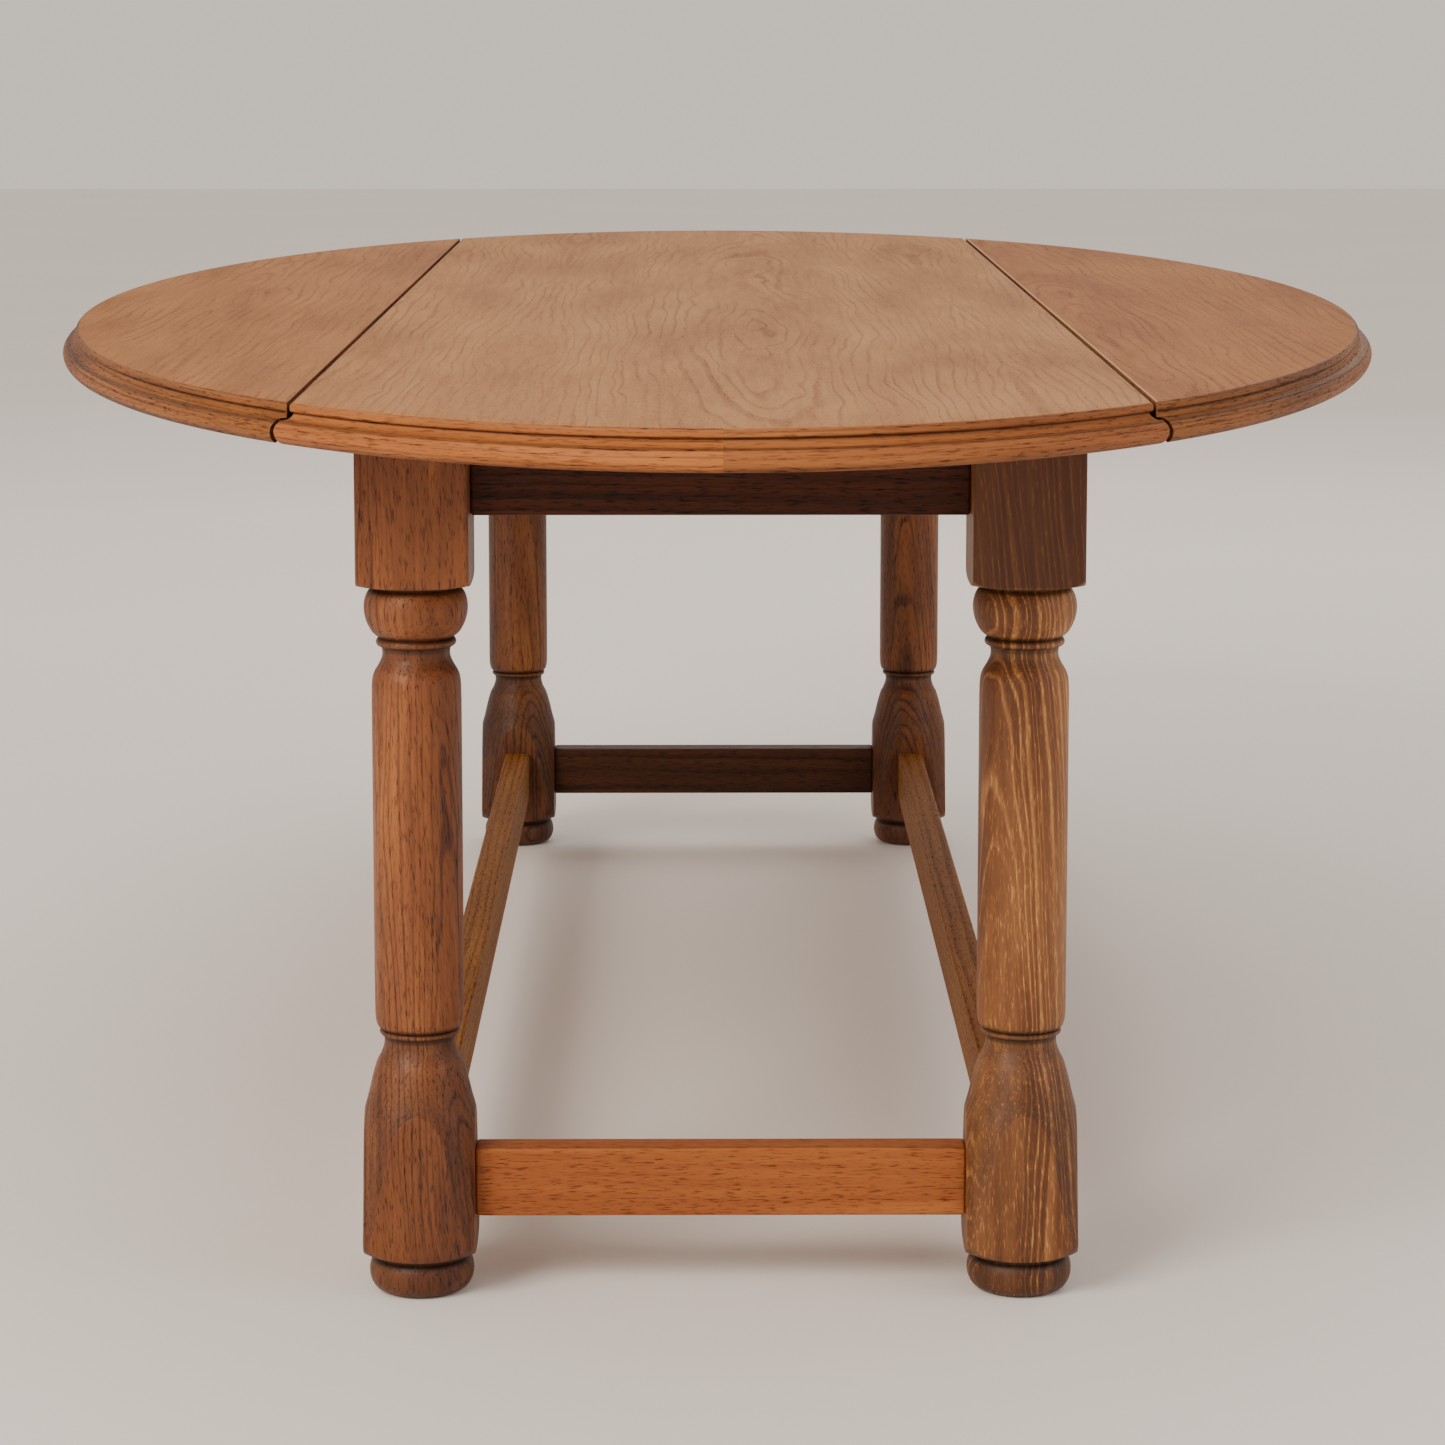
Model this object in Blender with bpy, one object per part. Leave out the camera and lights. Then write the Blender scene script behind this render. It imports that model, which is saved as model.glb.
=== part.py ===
"""Oval drop leaf table in oak: turned legs, box stretchers and two leaves on back-flap hinges.

Metres, +Z up. The floor is Z = 0 and the table stands centred on the origin. The leaves hang from
the long sides of the fixed centre, so they fold towards -X and +X, and Y runs along the hinges.
The leaves are raised and the lopers, which slide out under them, are pushed home.
"""

import math

import bmesh
import bpy
from mathutils import Matrix, Vector

# Overall sizes
HEIGHT = 0.460
HALF_WIDTH = 0.3825  # upper lip of the raised oval, across the leaves
HALF_LENGTH = 0.786  # upper lip of the oval, along the hinges
CENTRE_HALF_WIDTH = 0.199  # upper lip of the fixed centre, across the leaves
TOP_THICKNESS = 0.019

# Clearances
JOINT_GAP = 0.0003  # between glued or touching pieces
SLIDE_GAP = 0.0004  # round a loper
SEAM_GAP = 0.0015  # between the centre and a leaf, at the upper surface
HOLLOW_GAP = 0.0022  # between the centre's torus and the hollow in a leaf's edge

# Edge moulding of the top
LIP_RADIUS = 0.0017
QUIRK_DEPTH = 0.0009
QUIRK_HEIGHT = 0.0008
COVE_WIDTH = 0.0062
COVE_HEIGHT = 0.0048
FILLET_WIDTH = 0.0008
FILLET_HEIGHT = 0.0007
LIPPING_WIDTH = 0.022

# Legs
LEG_SQUARE = 0.0555
LEG_ARRIS = 0.0020
LEG_SPACING_X = 0.3015
LEG_SPACING_Y = 1.094
LEG_SHOULDER_Z = 0.3662  # where the corners of the upper block start to turn in
LEG_LOWER_SHOULDER_Z = 0.0275
SHOULDER_DROP = 0.0092
NECK_RADIUS = 0.0215
BALL_Z = 0.3475
BALL_RADIUS = 0.0259
BALL_HALF_HEIGHT = 0.0210
UPPER_BEAD_Z = 0.3296
UPPER_BEAD_RADIUS = 0.0198
COVE_NECK_Z = 0.3239
COVE_NECK_RADIUS = 0.0168
COLUMN_TOP_Z = 0.3120
COLUMN_RADIUS = 0.0221
COLUMN_FOOT_Z = 0.1420
LOWER_BEAD_Z = 0.1322
LOWER_BEAD_RADIUS = 0.0200
BELL_NECK_Z = 0.1268
BELL_NECK_RADIUS = 0.0177
BELL_RADIUS = 0.0385
BEAD_HALF_HEIGHT = 0.0021
GROOVE_DEPTH = 0.0014
FOOT_CORE_RADIUS = 0.0185
FOOT_BULGE = 0.0078
FOOT_HALF_HEIGHT = 0.0092

# Rails, stretchers and corner braces
RAIL_HEIGHT = 0.0475
RAIL_THICKNESS = 0.018
STRETCHER_HEIGHT = 0.035
STRETCHER_THICKNESS = 0.018
STRETCHER_Z = 0.056
TENON_LENGTH = 0.018
TENON_THICKNESS = 0.008
TENON_SHOULDER = 0.005  # step from a rail's lower edge to its tenon
RAIL_TENON_HEIGHT = 0.030
STRETCHER_TENON_HEIGHT = 0.025
BRACE_WIDTH = 0.018
BRACE_HEIGHT = 0.028
BRACE_DROP = 0.006

# Lopers, their guides and stops
LOPER_WIDTH = 0.022
LOPER_HEIGHT = 0.022
LOPER_LENGTH = 0.300
LOPER_TRAVEL = 0.130
LOPER_PAIR_Y = 0.250  # the two pairs lie this far in front of and behind the middle
LOPER_PITCH = 0.028  # between the two lopers of a pair
FINGER_GROOVE_RADIUS = 0.007
FINGER_GROOVE_INSET = 0.014
STOP_RADIUS = 0.004
STOP_INSET = 0.010
STOP_PROUD = 0.008
STOP_COVER = 0.004  # wood left over the stop's blind hole
GUIDE_HALF_LENGTH = 0.060
GUIDE_WALL = 0.009
GUIDE_FLOOR = 0.005

# Back-flap hinges
HINGE_Y = (-0.420, 0.0, 0.420)
HINGE_LENGTH = 0.060
HINGE_DROP = 0.0032  # axis below the underside of the top
FLAP_WIDTH = 0.032
FLAP_THICKNESS = 0.0014
BARREL_RADIUS = 0.0028
PIN_RADIUS = 0.0012
PIN_GAP = 0.0003

# Facets
ARC_STEPS = 3
END_STEPS = 8
LEAF_STEPS = 14
FINE_Z = 1e-4

UNDERSIDE = HEIGHT - TOP_THICKNESS
FRAME_TOP = UNDERSIDE - JOINT_GAP
RAIL_BOTTOM = FRAME_TOP - RAIL_HEIGHT
TORUS_RADIUS = (TOP_THICKNESS - 2 * LIP_RADIUS - QUIRK_HEIGHT - COVE_HEIGHT - FILLET_HEIGHT) / 2
HINGE_X = CENTRE_HALF_WIDTH
HINGE_Z = UNDERSIDE - HINGE_DROP
LEG_X = LEG_SPACING_X / 2
LEG_Y = LEG_SPACING_Y / 2
RAIL_OUTER_X = LEG_X + RAIL_THICKNESS / 2


# Materials


def oak(name, colour, roughness):
    material = bpy.data.materials.new(name)
    material.use_nodes = True
    shader = material.node_tree.nodes["Principled BSDF"]
    shader.inputs["Base Color"].default_value = (*colour, 1.0)
    shader.inputs["Roughness"].default_value = roughness
    return material


def metal(name, colour, roughness):
    material = oak(name, colour, roughness)
    material.node_tree.nodes["Principled BSDF"].inputs["Metallic"].default_value = 1.0
    return material


# Mesh helpers


def add_object(name, bm, material, parent=None):
    """A closed mesh in world coordinates becomes an object, carried by its joint's empty if it moves."""
    bmesh.ops.recalc_face_normals(bm, faces=bm.faces)
    mesh = bpy.data.meshes.new(name)
    bm.to_mesh(mesh)
    bm.free()
    mesh.materials.append(material)
    obj = bpy.data.objects.new(name, mesh)
    bpy.context.scene.collection.objects.link(obj)
    if parent:
        obj.parent = parent
        obj.matrix_parent_inverse = Matrix.Translation(-parent.location)
    return obj


def add_empty(name, location):
    empty = bpy.data.objects.new(name, None)
    empty.location = location
    empty.empty_display_size = 0.03
    bpy.context.scene.collection.objects.link(empty)
    return empty


def cap(bm, row, split):
    """Closes an end: one face or, on a moulded section, a fan from each of its two last points."""
    if split is None:
        bm.faces.new(row)
        return
    *outer, low, high = row
    for i, (start, end) in enumerate(zip(outer, outer[1:])):
        bm.faces.new((start, end, high if i < split else low))
    bm.faces.new((outer[split], low, high))


def loft(rings, split=None):
    """A closed solid through rings of equal length, capped at both ends."""
    bm = bmesh.new()
    rows = [[bm.verts.new(point) for point in ring] for ring in rings]
    count = len(rows[0])
    for low, high in zip(rows, rows[1:]):
        for i in range(count):
            j = (i + 1) % count
            bm.faces.new((low[i], low[j], high[j], high[i]))
    cap(bm, rows[0], split)
    cap(bm, rows[-1], split)
    return bm


def box(low, high):
    (x0, y0, z0), (x1, y1, z1) = low, high
    return loft([[(x0, y0, z), (x1, y0, z), (x1, y1, z), (x0, y1, z)] for z in (z0, z1)])


def round_bar(centre, axis, radius, length, sides):
    """A bar along axis, centred on centre."""
    turn = Vector((0, 0, 1)).rotation_difference(Vector(axis)).to_matrix()
    rings = []
    for along in (-length / 2, length / 2):
        angles = [2 * math.pi * i / sides for i in range(sides)]
        points = [Vector((radius * math.cos(a), radius * math.sin(a), along)) for a in angles]
        rings.append([Vector(centre) + turn @ point for point in points])
    return loft(rings)


def combine(obj, tool, operation):
    """A live Boolean whose tool is left out of renders."""
    tool.hide_render = True
    tool.display_type = "WIRE"
    modifier = obj.modifiers.new(operation.title(), "BOOLEAN")
    modifier.operation = operation
    modifier.solver = "EXACT"
    modifier.object = tool


def apply_modifiers(obj):
    bpy.context.view_layer.update()
    graph = bpy.context.evaluated_depsgraph_get()
    mesh = bpy.data.meshes.new_from_object(obj.evaluated_get(graph))
    obj.modifiers.clear()
    obj.data = mesh


def arc(centre, radii, start, end, steps=ARC_STEPS):
    """Points on an ellipse about centre, from start to end in degrees."""
    angles = [math.radians(start + (end - start) * i / steps) for i in range(steps + 1)]
    return [(centre[0] + radii[0] * math.cos(a), centre[1] + radii[1] * math.sin(a)) for a in angles]


# The oval top. Every edge is (offset out from the lip, drop below the upper surface).


def edge_moulding():
    lip_foot = -2 * LIP_RADIUS
    quirk = -LIP_RADIUS - QUIRK_DEPTH
    cove_top = lip_foot - QUIRK_HEIGHT
    cove_out = quirk + COVE_WIDTH
    cove_foot = cove_top - COVE_HEIGHT
    fillet_out = cove_out + FILLET_WIDTH
    torus_centre = (cove_out - FILLET_WIDTH, -TOP_THICKNESS + TORUS_RADIUS)
    points = arc((-LIP_RADIUS, -LIP_RADIUS), (LIP_RADIUS, LIP_RADIUS), 90, -90)
    points += [(quirk, lip_foot - FINE_Z), (quirk, cove_top)]
    waist = len(points) - 1
    points += arc((cove_out, cove_top), (COVE_WIDTH, COVE_HEIGHT), 180, 270)[1:]
    points += [(fillet_out, cove_foot - FINE_Z), (fillet_out, cove_foot - FILLET_HEIGHT)]
    points += arc(torus_centre, (TORUS_RADIUS, TORUS_RADIUS), 60, -90, 5)
    return points, waist, torus_centre


EDGE, WAIST, TORUS_CENTRE = edge_moulding()


def hollow_offset(drop):
    """How far a leaf's hollowed inner edge stands off the centre's lip at this drop."""
    reach = TORUS_RADIUS + HOLLOW_GAP
    rise = drop - TORUS_CENTRE[1]
    if rise > reach:
        return SEAM_GAP
    return max(SEAM_GAP, TORUS_CENTRE[0] + math.sqrt(reach**2 - rise**2))


def oval_y(x, offset):
    """Half the length of the oval at x, for the outline offset outwards."""
    a, b = HALF_WIDTH + offset, HALF_LENGTH + offset
    return b * math.sqrt(1 - (x / a) ** 2)


def section(outer, inner):
    """A lipping's closed section: its moulded points, then its straight inner side."""
    return outer + [(*inner, UNDERSIDE), (*inner, HEIGHT)]


def end_lipping(side_x, side_y):
    """Half of the lipping round one end of the centre, from the middle joint to the mitre."""
    rings = []
    trim = JOINT_GAP / 2 / CENTRE_HALF_WIDTH
    for i in range(END_STEPS + 1):
        t = trim + (1 - 2 * trim) * i / END_STEPS
        outer = []
        for offset, drop in EDGE:
            x = (CENTRE_HALF_WIDTH + offset) * t
            outer.append((side_x * x, side_y * oval_y(x, offset), HEIGHT + drop))
        x = (CENTRE_HALF_WIDTH - LIPPING_WIDTH) * t
        rings.append(section(outer, (side_x * x, side_y * oval_y(x, -LIPPING_WIDTH))))
    return loft(rings, WAIST)


def side_lipping(side_x):
    """The moulded strip along one long side of the centre, mitred at both ends."""
    rings = []
    for side_y in (-1, 1):
        outer = []
        for offset, drop in EDGE:
            x = CENTRE_HALF_WIDTH + offset
            outer.append((side_x * x, side_y * (oval_y(x, offset) - JOINT_GAP), HEIGHT + drop))
        x = CENTRE_HALF_WIDTH - LIPPING_WIDTH
        rings.append(section(outer, (side_x * x, side_y * (oval_y(x, -LIPPING_WIDTH) - JOINT_GAP))))
    return loft(rings, WAIST)


def centre_panel():
    inset = LIPPING_WIDTH + JOINT_GAP
    half = CENTRE_HALF_WIDTH - inset
    steps = 2 * END_STEPS
    xs = [half * (2 * i / steps - 1) for i in range(steps + 1)]
    outline = [(x, -oval_y(x, -inset)) for x in xs] + [(x, oval_y(x, -inset)) for x in reversed(xs)]
    return loft([[(x, y, z) for x, y in outline] for z in (UNDERSIDE, HEIGHT)])


def leaf_corner_angle(x, offset):
    return math.acos(x / (HALF_WIDTH + offset))


def leaf_point(t, offset, corner_x):
    """A point on the leaf's outline, from the middle of its long curve (t = 0) to its corner (t = 1)."""
    a, b = HALF_WIDTH + offset, HALF_LENGTH + offset
    trim = JOINT_GAP / b
    angle = trim + (leaf_corner_angle(corner_x, offset) - 2 * trim) * t
    return a * math.cos(angle), b * math.sin(angle)


def leaf_lipping(side_x, side_y):
    rings = []
    for i in range(LEAF_STEPS + 1):
        t = i / LEAF_STEPS
        outer = []
        for offset, drop in EDGE:
            x, y = leaf_point(t, offset, CENTRE_HALF_WIDTH + hollow_offset(drop))
            outer.append((side_x * x, side_y * y, HEIGHT + drop))
        x, y = leaf_point(t, -LIPPING_WIDTH, CENTRE_HALF_WIDTH + LIPPING_WIDTH)
        rings.append(section(outer, (side_x * x, side_y * y)))
    return loft(rings, WAIST)


def leaf_joint_strip(side_x):
    """The strip along the hinges, hollowed to pass over the centre's torus."""
    rings = []
    for side_y in (-1, 1):
        outer = []
        for offset, drop in EDGE:
            x = CENTRE_HALF_WIDTH + hollow_offset(drop)
            outer.append((side_x * x, side_y * (oval_y(x, offset) - 2 * JOINT_GAP), HEIGHT + drop))
        x = CENTRE_HALF_WIDTH + LIPPING_WIDTH
        inner_y = oval_y(x, -LIPPING_WIDTH) - 2 * JOINT_GAP
        rings.append(section(outer, (side_x * x, side_y * inner_y)))
    return loft(rings, WAIST)


def leaf_panel(side_x):
    inset = LIPPING_WIDTH + JOINT_GAP
    corner_x = CENTRE_HALF_WIDTH + inset
    upper = [leaf_point(i / LEAF_STEPS, -inset, corner_x) for i in range(LEAF_STEPS + 1)]
    outline = [(side_x * x, y) for x, y in reversed(upper)]
    outline += [(side_x * x, -y) for x, y in upper]
    return loft([[(x, y, z) for x, y in outline] for z in (UNDERSIDE, HEIGHT)])


# Legs


def blend(start, end, steps, shape):
    """Profile points (radius, z) from start to end, eased in radius by shape(0..1)."""
    points = []
    for i in range(steps + 1):
        s = i / steps
        points.append((start[0] + (end[0] - start[0]) * shape(s), start[1] + (end[1] - start[1]) * s))
    return points


def smooth(s):
    return (1 - math.cos(math.pi * s)) / 2


def swell(s):
    return math.sin(math.pi / 2 * s)


def bead(z, radius):
    return arc((radius - GROOVE_DEPTH, z), (GROOVE_DEPTH, BEAD_HALF_HEIGHT), 90, -90)


def shoulder(corner_radius, z, neck_radius):
    """The rounded underside of a square block, turned in from its corners to the neck."""
    return arc((neck_radius, z), (corner_radius - neck_radius, SHOULDER_DROP), 0, -90)


def leg_profile():
    """The turned outline, from the top of the leg to the floor, as (radius, z)."""
    corner = LEG_SQUARE / math.sqrt(2)
    foot_neck = FOOT_CORE_RADIUS + FOOT_BULGE * math.cos(math.radians(50))
    points = [(corner, FRAME_TOP)]
    points += shoulder(corner, LEG_SHOULDER_Z, NECK_RADIUS)
    points += arc((0, BALL_Z), (BALL_RADIUS, BALL_HALF_HEIGHT), 25, -46, 5)
    points += bead(UPPER_BEAD_Z, UPPER_BEAD_RADIUS)
    points += blend((COVE_NECK_RADIUS, COVE_NECK_Z), (COLUMN_RADIUS, COLUMN_TOP_Z), 3, smooth)
    points += arc((COLUMN_RADIUS - 0.0024, COLUMN_FOOT_Z), (0.0024, 0.0072), 0, -80)
    points += bead(LOWER_BEAD_Z, LOWER_BEAD_RADIUS)
    bell_top = (BELL_NECK_RADIUS, BELL_NECK_Z)
    points += blend(bell_top, (BELL_RADIUS, LEG_LOWER_SHOULDER_Z), 5, swell)
    points += shoulder(BELL_RADIUS, LEG_LOWER_SHOULDER_Z, foot_neck - GROOVE_DEPTH)[1:]
    foot_centre = (FOOT_CORE_RADIUS, FOOT_HALF_HEIGHT)
    points += arc(foot_centre, (FOOT_BULGE, FOOT_HALF_HEIGHT), 50, -90, 5)
    return points


def leg_angles():
    """Angles round the leg that hold both edges of each arris."""
    half = LEG_SQUARE / 2
    edge = math.degrees(math.atan((half - LEG_ARRIS) / half))
    quarter = [0, 22, edge, 90 - edge, 68]
    return [math.radians(90 * k + angle) for k in range(4) for angle in quarter]


def leg_ring(radius, z):
    """A turned ring where the square bar is wide enough, and the bar's own faces elsewhere."""
    half = LEG_SQUARE / 2
    arris = (2 * half - LEG_ARRIS) / math.sqrt(2)
    ring = []
    for angle in leg_angles():
        flat = half / max(abs(math.cos(angle)), abs(math.sin(angle)))
        corner = arris / math.cos((angle % (math.pi / 2)) - math.pi / 4)
        r = min(radius, flat, corner)
        ring.append((r * math.cos(angle), r * math.sin(angle), z))
    return ring


def mortises():
    """Cutters for the rail and the stretcher that enter the +X face, and the same turned to the +Y face."""
    half = LEG_SQUARE / 2
    rail_low = RAIL_BOTTOM + TENON_SHOULDER
    stretcher_low = STRETCHER_Z - STRETCHER_TENON_HEIGHT / 2
    tools = []
    for low, height in ((rail_low, RAIL_TENON_HEIGHT), (stretcher_low, STRETCHER_TENON_HEIGHT)):
        side = TENON_THICKNESS / 2 + JOINT_GAP
        start = half - TENON_LENGTH - JOINT_GAP
        bottom, top = low - JOINT_GAP, low + height + JOINT_GAP
        tools.append(box((start, -side, bottom), (half + JOINT_GAP * 10, side, top)))
        turned = box((start, -side, bottom), (half + JOINT_GAP * 10, side, top))
        bmesh.ops.rotate(turned, verts=turned.verts, matrix=Matrix.Rotation(math.pi / 2, 3, "Z"))
        tools.append(turned)
    return tools


def build_legs(material):
    rings = [leg_ring(r, z) for r, z in reversed(leg_profile())]
    blank = add_object("leg_front_left", loft(rings), material)
    for i, tool in enumerate(mortises()):
        combine(blank, add_object(f"mortise_cutter_{i}", tool, material), "DIFFERENCE")
    apply_modifiers(blank)
    places = {
        "leg_front_left": (-1, -1, 0),
        "leg_front_right": (1, -1, 90),
        "leg_back_right": (1, 1, 180),
        "leg_back_left": (-1, 1, 270),
    }
    for name, (side_x, side_y, turn) in places.items():
        leg = blank if name == blank.name else bpy.data.objects.new(name, blank.data)
        if leg is not blank:
            bpy.context.scene.collection.objects.link(leg)
        leg.location = (side_x * LEG_X, side_y * LEG_Y, 0)
        leg.rotation_euler = (0, 0, math.radians(turn))


# Rails, stretchers, braces


def tenoned_bar(centre, along_y, spacing, thickness, low, height, tenon_low, tenon_height):
    """A bar between two legs whose centres are spacing apart, with a tenon on each end."""
    reach = (spacing - LEG_SQUARE) / 2 - JOINT_GAP
    tenon = (TENON_THICKNESS / 2, tenon_low, tenon_low + tenon_height)
    body = (thickness / 2, low, low + height)
    tip = reach + TENON_LENGTH
    rings = []
    for x, (half, bottom, top) in (
        (-tip, tenon),
        (-reach, tenon),
        (-reach, body),
        (reach, body),
        (reach, tenon),
        (tip, tenon),
    ):
        rings.append([(x, -half, bottom), (x, half, bottom), (x, half, top), (x, -half, top)])
    if along_y:
        rings = [[(-y, x, z) for x, y, z in ring] for ring in rings]
    return loft([[(centre[0] + x, centre[1] + y, z) for x, y, z in ring] for ring in rings])


def loper_lanes(side_x):
    """Y of each loper that serves the leaf on this side."""
    return [pair * LOPER_PAIR_Y - side_x * LOPER_PITCH / 2 for pair in (-1, 1)]


def build_frame(rail_oak, stretcher_oak, brace_oak):
    tenon_low = RAIL_BOTTOM + TENON_SHOULDER
    stretcher_low = STRETCHER_Z - STRETCHER_HEIGHT / 2
    stretcher_tenon_low = STRETCHER_Z - STRETCHER_TENON_HEIGHT / 2
    rail = (RAIL_THICKNESS, RAIL_BOTTOM, RAIL_HEIGHT, tenon_low, RAIL_TENON_HEIGHT)
    stretcher = (STRETCHER_THICKNESS, stretcher_low, STRETCHER_HEIGHT)
    stretcher += (stretcher_tenon_low, STRETCHER_TENON_HEIGHT)
    for name, side_y in (("front", -1), ("back", 1)):
        centre = (0, side_y * LEG_Y)
        add_object(f"rail_{name}", tenoned_bar(centre, False, LEG_SPACING_X, *rail), rail_oak)
        add_object(f"stretcher_{name}", tenoned_bar(centre, False, LEG_SPACING_X, *stretcher), stretcher_oak)
    for name, side_x in (("left", -1), ("right", 1)):
        centre = (side_x * LEG_X, 0)
        side_rail = add_object(f"rail_{name}", tenoned_bar(centre, True, LEG_SPACING_Y, *rail), rail_oak)
        add_object(f"stretcher_{name}", tenoned_bar(centre, True, LEG_SPACING_Y, *stretcher), stretcher_oak)
        for i, lane in enumerate(loper_lanes(side_x)):
            half = LOPER_WIDTH / 2 + SLIDE_GAP
            floor = FRAME_TOP - LOPER_HEIGHT - SLIDE_GAP
            low = (side_x * LEG_X - RAIL_THICKNESS, lane - half, floor)
            high = (side_x * LEG_X + RAIL_THICKNESS, lane + half, HEIGHT)
            notch = add_object(f"notch_cutter_{name}_{i}", box(low, high), rail_oak)
            combine(side_rail, notch, "DIFFERENCE")
    for name_y, side_y in (("front", -1), ("back", 1)):
        for name_x, side_x in (("left", -1), ("right", 1)):
            add_object(f"corner_brace_{name_y}_{name_x}", corner_brace(side_x, side_y), brace_oak)


def corner_brace(side_x, side_y):
    """A bar across the corner, behind the leg and between the inner faces of its two rails."""
    root_x = LEG_X - RAIL_THICKNESS / 2 - JOINT_GAP
    root_y = LEG_Y - RAIL_THICKNESS / 2 - JOINT_GAP
    near = LEG_SQUARE - RAIL_THICKNESS + 2 * JOINT_GAP
    far = near + BRACE_WIDTH * math.sqrt(2)
    plan = [(0, near), (0, far), (far, 0), (near, 0)]
    top = FRAME_TOP - BRACE_DROP
    rings = []
    for z in (top - BRACE_HEIGHT, top):
        rings.append([(side_x * (root_x - x), side_y * (root_y - y), z) for x, y in plan])
    return loft(rings)


# Lopers


def loper_stop_x():
    """Distance of the stop from the table's middle when the loper is home, on the far side of it."""
    return RAIL_OUTER_X - LOPER_LENGTH + STOP_INSET


def build_loper(side_x, lane, name, wood, dowel):
    """A loper lies home with its outer end flush with the rail, on its own sliding empty."""
    top = FRAME_TOP
    low = top - LOPER_HEIGHT
    slide = add_empty(f"slide_{name}", (side_x * RAIL_OUTER_X, lane, top - LOPER_HEIGHT / 2))
    ends = sorted((side_x * RAIL_OUTER_X, side_x * (RAIL_OUTER_X - LOPER_LENGTH)))
    half = LOPER_WIDTH / 2
    bar = box((ends[0], lane - half, low), (ends[1], lane + half, top))
    loper = add_object(f"loper_{name}", bar, wood, slide)
    groove_at = (side_x * (RAIL_OUTER_X - FINGER_GROOVE_INSET), lane, low)
    groove = round_bar(groove_at, (0, 1, 0), FINGER_GROOVE_RADIUS, 2 * LOPER_WIDTH, 12)
    combine(loper, add_object(f"groove_cutter_{name}", groove, wood), "DIFFERENCE")
    x = side_x * loper_stop_x()
    bottom, head = low - STOP_PROUD, top - STOP_COVER
    hole_top = head + JOINT_GAP
    bore = STOP_RADIUS + JOINT_GAP
    hole = round_bar((x, lane, (bottom + hole_top) / 2), (0, 0, 1), bore, hole_top - bottom, 12)
    combine(loper, add_object(f"hole_cutter_{name}", hole, wood), "DIFFERENCE")
    stop = round_bar((x, lane, (bottom + head) / 2), (0, 0, 1), STOP_RADIUS, head - bottom, 12)
    add_object(f"loper_stop_{name}", stop, dowel, slide)


def build_guide(pair, name, wood):
    """A block under the centre with a channel for each loper of the pair.

    Past the stop's last place the channel is deeper, so the step there halts the loper.
    """
    middle = pair * LOPER_PAIR_Y
    channel = LOPER_WIDTH / 2 + SLIDE_GAP
    half = LOPER_PITCH / 2 + channel + GUIDE_WALL
    floor = FRAME_TOP - LOPER_HEIGHT - SLIDE_GAP
    groove = STOP_RADIUS + SLIDE_GAP
    groove_floor = floor - STOP_PROUD - SLIDE_GAP
    base = groove_floor - GUIDE_FLOOR
    block = box((-GUIDE_HALF_LENGTH, middle - half, base), (GUIDE_HALF_LENGTH, middle + half, FRAME_TOP))
    guide = add_object(f"loper_guide_{name}", block, wood)
    step_x = loper_stop_x() + LOPER_TRAVEL + STOP_RADIUS + SLIDE_GAP
    past = 2 * GUIDE_HALF_LENGTH
    for side_x in (-1, 1):
        lane = middle - side_x * LOPER_PITCH / 2
        cut = box((-past, lane - channel, floor), (past, lane + channel, HEIGHT))
        combine(guide, add_object(f"channel_cutter_{name}_{side_x}", cut, wood), "DIFFERENCE")
        ends = sorted((side_x * step_x, -side_x * past))
        cut = box((ends[0], lane - groove, groove_floor), (ends[1], lane + groove, HEIGHT))
        combine(guide, add_object(f"stop_groove_cutter_{name}_{side_x}", cut, wood), "DIFFERENCE")


# Hinges. A hinge is drawn about its own axis, with the centre towards -X and the leaf towards +X.


def rolled_flap(side_x, start, end):
    """A length of flap whose edge is rolled into a barrel round the pin."""
    top = HINGE_DROP - JOINT_GAP
    bore = PIN_RADIUS + PIN_GAP
    lap = math.degrees(math.asin((top - FLAP_THICKNESS - JOINT_GAP) / BARREL_RADIUS))
    outline = [(-FLAP_WIDTH / 2, top)] + arc((0, 0), (BARREL_RADIUS, BARREL_RADIUS), 90, lap - 180, 10)
    outline += arc((0, 0), (bore, bore), lap - 180, 75, 10)
    outline += [(-bore, top - FLAP_THICKNESS), (-FLAP_WIDTH / 2, top - FLAP_THICKNESS)]
    return loft([[(-side_x * x, y, z) for x, z in outline] for y in (start, end)])


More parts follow.
